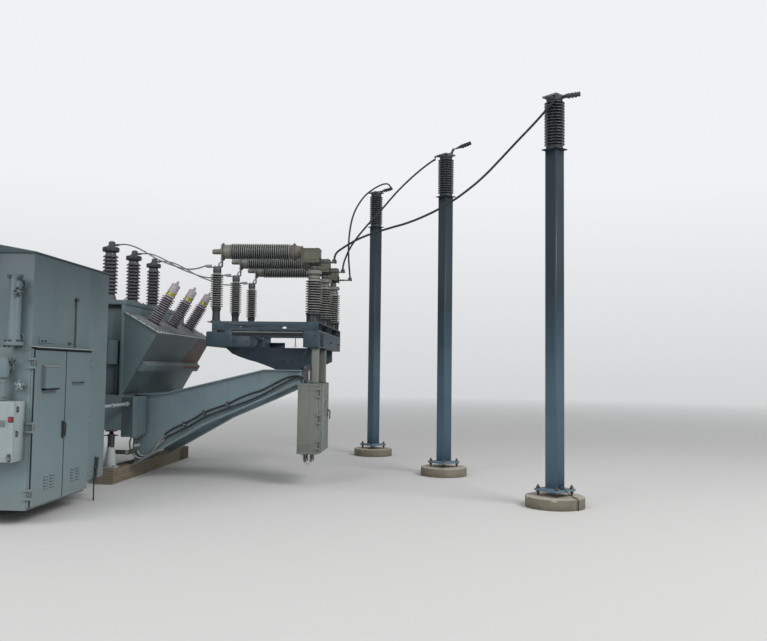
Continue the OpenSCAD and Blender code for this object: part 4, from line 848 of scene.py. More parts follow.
def makeColumnInsulators(core, reach, sheds, fitting, flange, neck, head, bolt, circle):
    foot, top = low("column_insulators").z, high("column_insulators").z
    glazed, metal = meshes(2)
    for column in columnPlaces:
        at = Matrix.Translation(column)
        addLathe(glazed, shedOutline(foot + fitting - 0.006, top - fitting + 0.006, core - 0.004, reach, sheds),
            56, at)
        addLathe(metal, [(0, foot), (flange, foot), (flange, foot + 0.014), (flange - 0.012, foot + 0.017),
            (neck + 0.010, foot + 0.020), (neck + 0.006, foot + 0.028), (neck + 0.006, foot + fitting - 0.006),
            (neck + 0.002, foot + fitting), (0, foot + fitting)], 48, at)
        addLathe(metal, [(0, top - fitting), (neck + 0.002, top - fitting), (neck + 0.006,
            top - fitting + 0.006), (neck + 0.006, top - 0.028), (head - 0.004, top - 0.020), (head,
            top - 0.014), (head, top), (0, top)], 48, at)
        addBoltRing(metal, at @ shift(z=foot + 0.015) @ turned(columnSettings["turn"]), circle, 4, bolt)
    makePiece("columnInsulatorSheds", glazed, "grey_porcelain", stands=["column_insulators"], sharpAngle=70)
    makePiece("columnInsulatorFittings", metal, "dark_steel", 0, "galvanised", stands=["column_insulators"])


lineClampSettings = {"lineTurn": -25.0, "clamp": 0.203, "lines": [((0.078, -0.016), (0.304, -0.017)), ((0.120,
    0.070), (0.400, 0.135)), ((0.095, 0.010), (0.326, 0.044))], "lugTurns": (-90.0, 180.0), "lugReach": 0.176,
    "bolt": 0.014, "plateBolt": 0.016}


def makeLineClamps(lineTurn, clamp, lines, lugTurns, lugReach, bolt, plateBolt):
    top, under = high("line_plates").z, low("line_plates").z
    metal, bolts = meshes(2)
    for column, (near, far) in zip(columnPlaces, lines):
        place = Matrix.Translation(column + Vector((0, 0, top))) @ turned(lineTurn)
        first, last = place @ Vector((near[0], 0, near[1])), place @ Vector((far[0], 0, far[1]))
        axis = (last - first).normalized()
        body = alongAxis(last - axis * clamp, axis)
        across = place.to_3x3() @ Vector((0, 1, 0))
        if near[1] > 0:  # lug on the plate's top that holds the shackle
            addPlate(metal, (0.020, -0.034), (0.110, 0.034), 0.008, 0, 0.012, place)
            addEach(addBolt, bolts, place, (0.036, 0.060), (-0.022, 0.022), 0.012, bolt)
            addPrism(metal, [(0.066, 0.010), (0.108, 0.010), (near[0] + 0.018, near[1]), (near[0] + 0.010,
                near[1] + 0.016), (near[0] - 0.008, near[1] + 0.016)], -0.008, 0.008, place @ sideways)
        for side in (-0.017, 0.017):  # links from the pin to the clamp
            addRod(metal, first + across * side, body @ Vector((0, side, 0.020)), 0.007, 12)
        for pin in (first, body @ Vector((0, 0, 0.016))):
            addRod(bolts, pin - across * 0.028, pin + across * 0.028, 0.008)
        addTurned(metal, [(0, 0), (12, 0), (15, 16), (21, 30), (26, 44), (26, 185), (29, 194), (29, 203), (18,
            203), (16, 190), (0, 190)], 24, body)
        for along in (0.070, 0.110, 0.150):
            for side in (-1, 1):
                leg = body @ shift(0, side * 0.021, along)
                addRod(bolts, leg @ Vector((-0.026, 0, 0)), leg @ Vector((0.030, 0, 0)), 0.0045, 8)
                addNut(bolts, leg @ shift(x=0.020) @ turned(90, "Y"), 0.014, 0.008)
            addPrism(metal, drawn([(-28, -12), (28, -12), (28, 12), (-28, 12)]), 0.012, 0.020,
                body @ shift(z=along) @ turned(90, "Y") @ turned(90, "Z"))
        plate = Matrix.Translation(column) @ turned(columnSettings["turn"])
        for k in range(4):
            at = plate @ turned(45 + 90 * k) @ shift(columnSettings["linePlateCircle"])
            addBolt(bolts, at @ shift(z=top), plateBolt)
            addNut(bolts, at @ shift(z=under - 0.013), plateBolt * 0.95, 0.013)
    for column, turn in zip(columnPlaces, lugTurns):
        place = Matrix.Translation(column + Vector((0, 0, under))) @ turned(turn)
        addBlock(metal, (0.060, -0.022, -0.012), (lugReach, 0.022, 0), place)
        addBlock(metal, (lugReach - 0.014, -0.022, -0.070), (lugReach, 0.022, -0.012), place)
        for z in (-0.026, -0.052):
            addBolt(bolts, place @ shift(lugReach - 0.014, 0, z) @ turned(-90, "Y"), bolt)
    makePieces(
        ("lineClamps", metal, "dark_steel", 0.0015),
        ("lineClampBolts", bolts, "anchor_steel", 0, "galvanised"), stands=["strain_clamps"])


makeColumnFootings(**columnSettings)
makePiers(**columnSettings)
makeColumnInsulators(**columnInsulatorSettings)
makeLineClamps(**lineClampSettings)
print("columns dressed")


# Circuit switcher: interrupters on slim and thick posts
phaseYs = lanesOf("slim_posts", 0.088)
frameTop = high("frame_rails").z
switcherSettings = {"slimCore": 0.050, "slimReach": 0.088, "slimSheds": 15, "thickCore": 0.075,
    "thickReach": 0.115, "thickSheds": 13, "core": 0.086, "shedReach": 0.1115, "sheds": 28, "axisZ": 3.125,
    "bolt": 0.012, "slimCap": 0.072, "flangeCircle": 0.106}


def makeSwitcherPosts(slimCore, slimReach, slimSheds, thickCore, thickReach, thickSheds, axisZ, bolt, slimCap,
        **others):
    slimX = low("slim_posts").x + slimReach
    thickX = low("thick_posts").x + thickReach
    slimFoot, slimTop = low("slim_posts").z, high("slim_posts").z
    thickFoot, thickTop = low("thick_posts").z, high("thick_posts").z
    headLow = low("head_boxes").z
    glazed, cast, plates, bolts, tops = meshes(5)
    flangeX = low("interrupters").x - 0.120
    for y in phaseYs:
        slim, thick = shift(slimX, y), shift(thickX, y)
        addLathe(glazed, shedOutline(slimFoot, slimTop, slimCore, slimReach, slimSheds, 0.008), 48, slim)
        addLathe(glazed, shedOutline(thickFoot, thickTop, thickCore, thickReach, thickSheds, 0.008), 56, thick)
        base = frameTop
        addLathe(cast, [(0, base), (0.074, base), (0.074, base + 0.014), (0.064, base + 0.018), (0.054,
            base + 0.028), (0.051, base + 0.12), (0.054, slimFoot - 0.04), (0.062, slimFoot - 0.024), (0.063,
            slimFoot), (0, slimFoot)], 40, slim)
        addBoltRing(bolts, slim @ shift(z=base + 0.014), 0.0655, 4, bolt)
        addLathe(cast, [(0, base), (0.099, base), (0.099, base + 0.018), (0.094, base + 0.020), (0.080,
            base + 0.022), (0.077, base + 0.030), (0.077, thickFoot - 0.036), (0.084, thickFoot - 0.030),
            (0.107, thickFoot - 0.024), (0.108, thickFoot - 0.004), (0.106, thickFoot), (0, thickFoot)], 48,
            thick)
        for k in range(8):  # ribs between the two flanges of the base
            rib = thick @ turned(45 * k)
            addPrism(cast, [(0.072, base + 0.018), (0.096, base + 0.018), (0.1, thickFoot - 0.026), (0.072,
                thickFoot - 0.026)], -0.005, 0.005, rib @ sideways)
        addBoltRing(bolts, thick @ shift(z=base + 0.018), 0.088, 8, 0.013)
        addTurned(cast, [(0, 0), (54, 0), (56, 6), (56, 50), (52, 58), (52, 72), (0, 72)], 40, slim, slimTop)
        addTurned(tops, [(0, 0), (78, 0), (84, 8), (84, 30), (76, 38), (70, 46), (70, 58), (100, 64), (104, 70),
            (104, 98), (96, 110), (70, 118), (0, 118)], 48, thick, thickTop)
        addLathe(cast, [(0, thickTop + 0.110), (0.054, thickTop + 0.110), (0.046, thickTop + 0.130), (0.046,
            headLow - 0.036), (0.060, headLow - 0.030), (0.084, headLow - 0.018), (0.084, headLow), (0,
            headLow)], 48, thick)
        addTurned(tops, [(46, -62), (52, -60), (52, -44), (46, -42)], 40, thick, headLow)
        addBoltRing(bolts, thick @ shift(z=thickTop + 0.112), 0.084, 8, 0.013)
        addBoltRing(bolts, thick @ shift(z=headLow - 0.018) @ turned(180, "X"), 0.076, 6, 0.011)
        barLow = slimTop + slimCap
        bar = barLow + 0.016
        # strap bent up from the post's top to the interrupter's flange
        bend = 0.034
        turn = [(flangeX - bend + bend * sin(a), bar + bend - bend * cos(a)) for a in (pi / 12 * k
            for k in range(7))]
        inner = [(flangeX - bend + (bend - 0.012) * sin(a), bar + bend - (bend - 0.012) * cos(a)) for a in (pi
            / 12 * k for k in range(6, -1, -1))]
        addPrism(plates, [(slimX - 0.150, bar), *turn, (flangeX, axisZ - 0.070), (flangeX - 0.012,
            axisZ - 0.070), *inner, (slimX - 0.150, bar + 0.012)], y - 0.034, y + 0.034,
            sideways @ shift(y=-0.016))
        addLathe(plates, [(0, barLow), (0.050, barLow), (0.050, bar), (0, bar)], 32, slim)
        addPrism(plates, drawn([(20, 0), (20, 30), (64, 76), (78, 66), (44, 30), (50, 0)], slimX, bar),
            y - 0.050, y - 0.038, sideways)
        for x, side in ((slimX - 0.028, -0.018), (slimX - 0.028, 0.018), (slimX + 0.028, -0.018),
                (slimX + 0.028, 0.018), (slimX - 0.128, 0.0), (slimX - 0.098, 0.0)):
            addBolt(bolts, shift(x, y + side, bar), bolt)
        for side in (-0.035, 0.0, 0.035):
            addBolt(bolts, shift(flangeX - 0.014, y + side, axisZ - 0.105) @ turned(-90, "Y"), bolt)
        # lug of the lead that comes from the arrester
        addBlock(plates, (slimX - 0.150, y - 0.024, bar), (slimX - 0.082, y + 0.024, bar + 0.010))
        addRod(plates, (slimX - 0.080, y, bar + 0.012), (slimX - 0.162, y, bar + 0.006), 0.016, 20)
    makePiece("switcherPorcelain", glazed, "light_porcelain", stands=["slim_posts", "thick_posts"],
        sharpAngle=70)
    makePieces(
        ("postCastings", cast, "dark_steel", 0.0012),
        ("postCaps", tops, "cast_metal", 0.0012, "galvanised"),
        ("postPlates", plates, "galvanised", 0.0015),
        ("postBolts", bolts, "bolt_steel"), stands=["post_fittings"])


def makeInterrupters(core, shedReach, sheds, axisZ, bolt, flangeCircle, **others):
    left, right = low("interrupters").x, high("interrupters").x
    stubX, headX = low("interrupter_flanges").x, low("head_boxes").x
    z = axisZ
    glazed, grey, rusty, bolts = meshes(4)
    for y in phaseYs:
        along = alongAxis((left, y, z), (1, 0, 0))
        addLathe(glazed, shedOutline(0, right - left, core, shedReach, sheds, 0.006), 56, along)
        back = alongAxis((left, y, z), (-1, 0, 0))
        reach = left - stubX
        addLathe(grey, [(0, -0.004), (0.094, -0.004), (0.098, 0.010), (0.097, 0.060), (0.090, 0.098), (0.090,
            0.106), (0.119, 0.106), (0.120, 0.108), (0.120, 0.118), (0.118, 0.120), (0.046, 0.120), (0.042,
            0.128), (0.036, 0.131), (0.036, reach - 0.016), (0.033, reach + 0.002), (0.024, reach + 0.012),
            (0.010, reach + 0.016), (0, reach + 0.016)], 56, back)
        addBoltRing(bolts, back @ shift(z=0.120), flangeCircle, 10, bolt)
        ahead = alongAxis((right, y, z), (1, 0, 0))
        span = headX - right
        addLathe(rusty, [(0, -0.004), (0.094, -0.004), (0.098, 0.004), (0.098, 0.026), (0.104, 0.030), (0.118,
            0.030), (0.120, 0.032), (0.120, 0.046), (0.118, 0.048), (0.096, 0.050), (0.093, 0.058), (0.078,
            span - 0.020), (0.086, span - 0.012), (0.086, span), (0, span)], 56, ahead)
        addBoltRing(bolts, ahead @ shift(z=0.048), flangeCircle, 12, bolt)
        addBoltRing(bolts, back @ shift(z=0.106) @ turned(180, "X"), flangeCircle, 10, 0.010)
    makePiece("interrupterPorcelain", glazed, "light_porcelain", stands=["interrupters"], sharpAngle=70)
    makePieces(
        ("interrupterCaps", grey, "cast_metal", 0.001, "galvanised"),
        ("interrupterNecks", rusty, "rusty_paint", 0.001, "dark_steel"),
        ("interrupterBolts", bolts, "bolt_steel"), stands=["interrupter_flanges"])


headSettings = {"width": 0.240, "bolt": 0.010, "terminalX": -1.520, "socketRadius": 0.026}


def makeHeads(width, bolt, terminalX, socketRadius):
    (left, _, foot), (right, _, top) = low("head_boxes"), high("head_boxes")
    half = width / 2
    detail, bolts, bars = meshes(3)
    barLow, barTop = low("switcher_terminals").z, low("switcher_terminals").z + 0.014
    barEnd, _, socketTop = high("switcher_terminals")
    for y in phaseYs:
        addEach(addBolt, bolts, flat, (left + 0.03, (left + right) / 2, right - 0.036), (y - half + 0.012,
            y + half - 0.012), top, bolt)
        # side cover with its screws, front and back
        for side, turn in ((-1, 90), (1, -90)):
            cover = shift((left + right) / 2, y + side * half, (foot + top) / 2) @ turned(turn, "X")
            addBlock(detail, (-0.090, -0.062, -0.002), (0.090, 0.062, 0.006), cover)
            addEach(addBolt, bolts, cover, (-0.078, 0, 0.078), (-0.050, 0.050), 0.006, 0.009, 0.7, False)
        addTurned(detail, [(0, -22), (12, -22), (16, -18), (16, 0), (0, 0)], 16, shift(left + 0.028, y + 0.07),
            foot)
        # terminal bar with its pad, clamp and the bolts through them
        addPrism(bars, [(right - 0.006, -0.034), (barEnd - 0.016, -0.034), (barEnd, -0.018), (barEnd, 0.018),
            (barEnd - 0.016, 0.034), (right - 0.006, 0.034)], barLow, barTop, shift(y=y))
        addBlock(bars, (right - 0.006, y - 0.050, barLow - 0.040), (right + 0.010, y + 0.050, barTop + 0.050))
        for bx, by in ((right + 0.035, -0.018), (right + 0.035, 0.018), (right + 0.075, -0.018), (right + 0.075,
                0.018), (barEnd - 0.018, 0.0)):
            addBolt(bolts, shift(bx, y + by, barTop), bolt)
            addNut(bolts, shift(bx, y + by, barLow - 0.009), 0.012, 0.009)
        for by in (-0.038, 0.038):
            for bz in (-0.028, 0.052):
                addBolt(bolts, shift(right + 0.010, y + by, barTop + bz - 0.012) @ turned(90, "Y"), bolt)
        socket = shift(terminalX, y)
        addLathe(bars, [(0, barTop - 0.002), (0.034, barTop - 0.002), (0.034, barTop + 0.006), (socketRadius,
            barTop + 0.010), (socketRadius + 0.003, barTop + 0.022), (socketRadius, barTop + 0.034), (0.019,
            socketTop), (0, socketTop)], 28, socket)
        for turn in (20, 200):
            addBolt(bolts, socket @ turned(turn) @ shift(socketRadius, 0, barTop + 0.022) @ turned(90, "Y"),
                0.010, washer=False)
    makePieces(("headBoxCovers", detail, "head_paint", 0.0015), ("headBoxBolts", bolts, "bolt_steel"))
    makePiece("terminalBars", bars, "dark_steel", 0.0015, "galvanised", stands=["switcher_terminals"])


makeSwitcherPosts(**switcherSettings)
makeInterrupters(**switcherSettings)
makeHeads(**headSettings)
print("circuit switcher dressed")


# Bushings on the nose and arresters on the tank's cover
bushingYs = lanesOf("inclined_bushings", 0.104)
arresterYs = lanesOf("surge_arresters", 0.118)
bushingSettings = {"noseSlope": 30.0, "share": 0.51, "rimLip": 0.018, "seatGap": 0.0003, "flange": 0.104,
    "flangeHeight": 0.022, "porcelain": 0.420, "core": 0.058, "shedReach": 0.098, "sheds": 12, "bolt": 0.014}


def makeBushings(noseSlope, share, rimLip, seatGap, flange, flangeHeight, porcelain, core, shedReach, sheds,
        bolt):
    nose, noseTop = low("bushing_nose"), high("bushing_nose")
    reach = noseTop.x - nose.x - rimLip
    slope = radians(noseSlope)
    seatX = nose.x + (1 - share) * reach
    seatZ = noseTop.z - (1 - share) * reach * tan(slope)
    foot = flangeHeight
    top = foot + porcelain
    glazed, metal, light, glass, bolts = meshes(5)
    for y in bushingYs:
        at = (shift(seatX, y, seatZ) @ turned(noseSlope, "Y") @ shift(z=seatGap))
        addLathe(metal, [(0, 0), (flange, 0), (flange, 0.014), (0.100, 0.016), (0.078, 0.018), (0.072,
            foot + 0.012), (0.066, foot + 0.020), (0, foot + 0.020)], 48, at)
        addBoltRing(bolts, at @ shift(z=0.015), 0.090, 8, bolt)
        # light clamp ring round the flange, its pale paint partly a painted highlight on the plate
        addTurned(light, [(104.5, -0.3), (128, -0.3), (128, 7), (124, 10), (104.5, 10)], 48, at)
        addBoltRing(bolts, at @ shift(z=0.010), 0.117, 12, 0.010)
        addLathe(glazed, shedOutline(foot + 0.012, top + 0.002, core, shedReach, sheds, 0.010), 48, at)
        addTurned(light, [(0, 0), (70, 0), (74, 4), (74, 16), (70, 20), (40, 22), (0, 22)], 48, at, top)
        addTurned(glass, [(50, 20), (60, 24), (60, 62), (50, 66)], 48, at, top)
        for k in range(6):  # tie rods around the sight glass
            rod = at @ turned(60 * k)
            addRod(bolts, rod @ Vector((0.0635, 0, top + 0.018)), rod @ Vector((0.0635, 0, top + 0.070)), 0.003,
                8)
        addTurned(light, [(0, 63), (66, 63), (70, 67), (70, 78), (63, 80), (63, 176), (59, 184), (34, 190), (0,
            190)], 48, at, top)
        addTurned(light, [(0, 186), (26, 186), (26, 200), (18, 204), (18, 238), (14, 242), (0, 242)], 32, at,
            top)
        addBoltRing(bolts, at @ shift(z=top + 0.019), 0.066, 6, 0.009, start=0.5)
        addBoltRing(bolts, at @ shift(z=top + 0.186), 0.044, 6, 0.009)
    makePiece("bushingPorcelain", glazed, "brown_porcelain", stands=["inclined_bushings"], sharpAngle=70)
    makePiece("bushingFlanges", metal, "tank_paint", 0.0012, stands=["inclined_bushings"])
    makePieces(
        ("bushingCaps", light, "cap_paint", 0.0012, "light_paint"),
        ("sightGlasses", glass, "sight_glass", 0, "light_paint"),
        ("bushingBolts", bolts, "bolt_steel"), stands=["bushing_caps"])


arresterSettings = {"flangeHeight": 0.110, "porcelain": 0.570, "core": 0.072, "reach": 0.106, "sheds": 11,
    "bolt": 0.015}


def makeArresters(flangeHeight, porcelain, core, reach, sheds, bolt):
    x = low("surge_arresters").x + 0.118
    base = low("surge_arresters").z
    foot = base + flangeHeight
    top = foot + porcelain
    end = high("surge_arresters").z
    glazed, cast, feet, bolts = meshes(4)
    for y in arresterYs:
        at = shift(x, y)
        addLathe(glazed, shedOutline(foot - 0.004, top + 0.004, core, reach, sheds, 0.014), 56, at)
        addLathe(feet, [(0, base), (0.118, base), (0.118, base + 0.016), (0.112, base + 0.018), (0.092,
            base + 0.024), (0.088, base + 0.034), (0.086, foot - 0.030), (0.080, foot - 0.016), (0.070, foot),
            (0, foot)], 48, at)
        for k in range(6):
            addPrism(feet, [(0.080, base + 0.015), (0.110, base + 0.015), (0.086, foot - 0.034), (0.080,
                foot - 0.034)], -0.005, 0.005, at @ turned(60 * k) @ sideways)
        addBoltRing(bolts, at @ shift(z=base + 0.017), 0.101, 6, bolt)
        addLathe(cast, [(0, top), (0.070, top), (0.072, top + 0.018), (0.082, top + 0.022), (0.112,
            top + 0.030), (0.114, top + 0.034), (0.114, top + 0.080), (0.110, top + 0.086), (0.096,
            top + 0.092), (0.054, top + 0.094), (0.050, top + 0.098), (0.050, end - 0.030), (0.044,
            end - 0.024), (0, end - 0.024)], 56, at)
        addBoltRing(bolts, at @ shift(z=top + 0.088), 0.080, 8, 0.012)
        # terminal block on the cap, and the clamp with the lead's lug
        addPlate(cast, (x - 0.030, y - 0.026), (x + 0.052, y + 0.026), 0.008, end - 0.024, end + 0.024)
        addPlate(cast, (x - 0.012, y - 0.018), (x + 0.030, y + 0.018), 0.008, end + 0.024, end + 0.036)
        for bx in (-0.018, 0.040):
            addBolt(bolts, shift(x + bx, y, end + 0.024), 0.012)
        addBlock(cast, (x - 0.026, y - 0.022, end - 0.030), (x + 0.098, y + 0.022, end - 0.022))
        addRod(cast, (x - 0.014, y, end - 0.012), (x + 0.128, y, end - 0.012), 0.0118, 20)
        for bx in (-0.010, 0.026, 0.056, 0.086):
            for side in (-0.0165, 0.0165):
                addBolt(bolts, shift(x + bx, y + side, end - 0.022), 0.011, 0.9)
            addBlock(cast, (x + bx - 0.009, y - 0.022, end - 0.023), (x + bx + 0.009, y + 0.022, end - 0.016))
    makePiece("arresterPorcelain", glazed, "dark_porcelain", 0, "brown_porcelain", stands=["surge_arresters"],
        sharpAngle=70)
    makePieces(
        ("arresterCastings", cast, "dark_steel", 0.0012),
        ("arresterFeet", feet, "olive_paint", 0.0012, "tank_paint"),
        ("arresterBolts", bolts, "bolt_steel"), stands=["surge_arresters"])


makeBushings(**bushingSettings)
makeArresters(**arresterSettings)
print("bushings and arresters dressed")


# Faces of cabinets: drawings in two axes that stand out along the third
faceX = Matrix(((0, 0, 1, 0), (1, 0, 0, 0), (0, 1, 0, 0), (0, 0, 0, 1)))     # Y and Z, out along +X
faceNear = Matrix(((1, 0, 0, 0), (0, 0, -1, 0), (0, 1, 0, 0), (0, 0, 0, 1)))  # X and Z, out along -Y
section = Matrix(((0, 0, 1, 0), (0, 1, 0, 0), (1, 0, 0, 0), (0, 0, 0, 1)))    # outline as (out, up)


def addPan(bm, low, high, wall, depth, place=flat):
    # folded sheet pan: face at 0, open back at -depth
    rings = []
    for inset, level in ((0, -depth), (0, 0), (wall, -depth), (wall, -wall)):
        x0, y0, x1, y1 = low[0] + inset, low[1] + inset, high[0] - inset, high[1] - inset
        rings.append([bm.verts.new(place @ Vector((x, y, level))) for x, y in ((x0, y0), (x1, y0), (x1, y1),
            (x0, y1))])
    bm.faces.new(rings[1])
    bm.faces.new(rings[3])
    for first, second in ((0, 1), (0, 2), (2, 3)):
        for k in range(4):
            n = (k + 1) % 4
            bm.faces.new((rings[first][k], rings[first][n], rings[second][n], rings[second][k]))


def addScrew(bm, place, radius):
    # low domed screw head
    addLathe(bm, [(0, -0.0002), (radius, -0.0002), (radius * 0.9, radius * 0.35), (radius * 0.5, radius * 0.6),
        (0, radius * 0.68)], 12, place)


def addKnuckle(bm, place, radius, low, high):
    # hinge barrel with a rounded pin head at each end
    addLathe(bm, [(0, low - 0.003), (radius * 0.5, low - 0.0025), (radius * 0.7, low), (radius, low + 0.001),
        (radius, high - 0.001), (radius * 0.7, high), (radius * 0.5, high + 0.0025), (0, high + 0.003)], 16,
        place)


def addHinges(bm, axis, place, levels, half, ends, middle, gap=0.016, screw=0.004):
    # barrel, leaf from end to end and its two screws at each level
    for z in levels:
        addKnuckle(bm, axis, 0.007, z - half + 0.003, z + half - 0.003)
        addPlate(bm, (ends[0], z - half), (ends[1], z + half), 0.002, -0.002, 0.003, place)
        addEach(addScrew, bm, place, (middle,), (z - gap, z + gap), 0.003, screw)


def addSeal(bm, low, high, level, radius, place):
    # rubber cord inside a door's rim
    x0, y0, x1, y1 = low[0] + 0.009, low[1] + 0.009, high[0] - 0.009, high[1] - 0.009
    rim = [place @ Vector((x, y, level)) for x, y in ((x0, y0), (x1, y0), (x1, y1), (x0, y1))]
    addTube(bm, rim, radius, 8, closed=True)


# Cabinet doors: folded pans with hinges, hoods, louvres and handle
doorSettings = {"face": low("control_door_left").x + 0.038, "depth": 0.038, "sheet": 0.004,
    "sides": {"left": (-4.416, -3.7497), "right": (-3.7437, -3.134)}, "hinges": {"left": -4.428,
    "right": -3.122}, "levels": (0.304, 0.9455, 1.569), "knuckle": 0.056, "hoods": {"left": (-4.278, -3.975,
    1.305, 1.560, 0.030, 0.044), "right": (-3.5997, -3.3137, 1.350, 1.384, 0.006, 0.012)},
    "louvres": {"left": -4.159, "right": -3.5617}, "louvreLow": 0.318, "louvreSize": (0.100, 0.020, 0.011),
    "louvreStep": (0.130, 0.030), "handle": (-3.8117, -3.7717, 0.797, 0.977)}


def addHood(shell, shadeStrips, screws, shape, place):
    y0, y1, foot, top, drop, reach = shape
    wall = 0.0022
    outside = [(0, foot), (reach, foot), (reach, top - drop), (0, top)]
    addPrism(shell, [(reach - wall, foot), (reach, foot), (reach, top - drop), (reach - wall, top - drop)], y0,
        y1, place @ section)
    addPrism(shell, [(0, top - wall * 2), (reach, top - drop - wall * 2), (reach, top - drop), (0, top)], y0,
        y1, place @ section)
    for start, end in ((y0, y0 + wall), (y1 - wall, y1)):
        addPrism(shell, outside, start, end, place @ section)
    # dark plate of painted shade inside the hood
    addBlock(shadeStrips, (y0 + wall, foot + 0.010, 0), (y1 - wall, foot + 0.014, reach - wall), place)
    rim = 0.013
    for corner, opposite in (((y0 - rim, foot), (y0, top + rim)), ((y1, foot), (y1 + rim, top + rim)), ((y0,
            top), (y1, top + rim))):
        addPlate(shell, corner, opposite, 0.003, 0, 0.002, place)
    if reach > 0.03:  # dark mouth along the lower edge
        # the block is painted shade in the hood's mouth
        addBlock(shadeStrips, (y0, foot - 0.001, 0.0002), (y1, foot + 0.017, reach + 0.001), place)
    count = max(2, int((top - foot) / 0.07))
    for k in range(count):
        for y in (y0 - rim / 2, y1 + rim / 2):
            addScrew(screws, place @ shift(y, foot + (k + 0.5) * (top - foot) / count, 0.002), 0.0035)


def addLouvres(shell, shadeStrips, start, foot, size, step, place):
    width, height, reach = size
    for column in range(2):
        for row in range(5):
            y0, z0 = start + column * step[0], foot + row * step[1]
            outline = [(0, z0 + 0.003), (reach * 0.92, z0), (reach, z0 + 0.0015), (reach * 0.92, z0 + 0.004),
                (reach * 0.62, z0 + height * 0.55), (reach * 0.25, z0 + height * 0.85), (0, z0 + height)]
            addPrism(shell, outline, y0 + 0.004, y0 + width - 0.004, place @ section)
            for end in (y0 + 0.004, y0 + width - 0.004):
                addPrism(shell, [(0, z0 + 0.004), (reach * 0.8, z0 + 0.002), (0, z0 + height - 0.002)],
                    end - 0.003, end + 0.003, place @ section)
            # dark strip of painted shade under each louvre's lip
            addBlock(shadeStrips, (y0 + 0.003, z0 - 0.0055, 0.0002), (y0 + width - 0.003, z0 + 0.003, 0.0014), place)


def makeControlDoors(face, depth, sheet, sides, hinges, levels, knuckle, hoods, louvres, louvreLow, louvreSize,
        louvreStep, handle):
    place = shift(face) @ faceX
    top, foot = high("control_door_left").z, low("control_door_left").z
    for side in ("left", "right"):
        y0, y1 = sides[side]
        left = side == "left"
        shell, shadeStrips, metal, dark = meshes(4)
        addPan(shell, (y0, foot), (y1, top), sheet, depth, place)
        for share in (0.25, 0.5, 0.75):  # stiffening channels on the door's inside
            z = foot + share * (top - foot)
            addPrism(shell, drawn([(-4, -50), (-10, -35), (-26, -30), (-26, 30), (-10, 35), (-4, 50)], 0, z),
                y0 + 0.02, y1 - 0.02, place @ section)
        addSeal(dark, (y0, foot), (y1, top), 0.005 - depth, 0.006, place)
        addHood(shell, shadeStrips, metal, hoods[side], place)
        addLouvres(shell, shadeStrips, louvres[side], louvreLow, louvreSize, louvreStep, place)
        # dark strips of painted shade that show as the seams beside and above the doors
        if left:
            addBlock(shadeStrips, (y0 - 0.0008, foot, -0.017), (y0 + 0.0002, top, -0.0006), place)
            addBlock(shadeStrips, (y1 - 0.006, foot, 0.0002), (y1, top, 0.0012), place)
        else:
            addBlock(shadeStrips, (y0, foot, 0.0002), (y0 + 0.003, top, 0.0012), place)
        addBlock(shadeStrips, (y0, top - 0.013, 0.0002), (y1, top, 0.0014), place)
        hinge = hinges[side]
        edge, inner = (y0, y0 + 0.030) if left else (y1, y1 - 0.030)
        addHinges(metal, shift(face, hinge), place, levels, knuckle / 2, sorted((hinge, inner)),
            (edge + inner) / 2)
        if left:
            addHandle(dark, metal, handle, place)
            addPan(shell, (y0 + 0.20, foot + 0.95), (y1 - 0.14, foot + 1.17), 0.002, 0.03,
                place @ shift(z=-0.012))
        else:
            near, far, sill, _, _, reach = hoods[side]
            # dark strip of painted shade under the small hood's sill
            addBlock(shadeStrips, (near + 0.006, sill + 0.008, reach - 0.0006), (far - 0.006, sill + 0.020,
                reach + 0.0004), place)
            addPlate(metal, (y0 - 0.012, foot + 0.3), (y0 + 0.004, top - 0.3), 0.002, -0.0385, -0.034, place)
        makePieces(
            (f"doorLeaf_{side}", shell, "enclosure_paint", 0.0018),
            (f"doorGaps_{side}", shadeStrips, "shadow_gap", 0, "dark_steel"),
            (f"doorHinges_{side}", metal, "galvanised" if left else "enclosure_paint", 0.0006, "galvanised"),
            (f"doorSeal_{side}", dark, "cable_jacket", 0.0012),
            body=f"door_{side}", stands=[f"control_door_{side}"])


def addHandle(dark, metal, box, place):
    # swing handle in its dish, with a lock barrel and a padlock eye
    y0, y1, foot, top = box
    mid = (y0 + y1) / 2
    addPlate(dark, (y0, foot), (y1, top), 0.012, 0, 0.008, place)
    addPlate(dark, (y0 + 0.006, foot + 0.012), (y1 - 0.006, top - 0.030), 0.008, 0.008, 0.013, place)
    path = [(mid, top - 0.022, 0.010), (mid, top - 0.026, 0.030), (mid, top - 0.050, 0.036), (mid, foot + 0.045,
        0.034), (mid, foot + 0.022, 0.024)]
    addBent(dark, path, 0.0085, 12, 5, place)
    addTurned(dark, [(0, 8), (17, 8), (17, 18), (13, 24), (0, 24)], 24, place @ shift(mid, top - 0.022))
    addTurned(metal, [(0, 7), (9, 7), (9, 15.5), (6, 16.5), (0, 16.5)], 20, place @ shift(mid, foot + 0.02))
    addScrew(metal, place @ shift(mid, top - 0.008, 0.008), 0.005)
    ring = [place @ Vector((y1 - 0.004, foot + 0.010 + 0.013 * cos(a),
        0.020 + 0.013 * sin(a))) for a in (2 * pi * k / 14 for k in range(14))]
    addTube(metal, ring, 0.0026, 8, closed=True)


# Control box on the near wall
relaySettings = {"x0": -4.595, "x1": -4.135, "foot": 0.632, "top": 1.203, "face": 4.625, "depth": 0.022,
    "hinge": -4.607, "levels": (0.722, 1.113), "knobX": -4.160, "knobZ": 1.034}


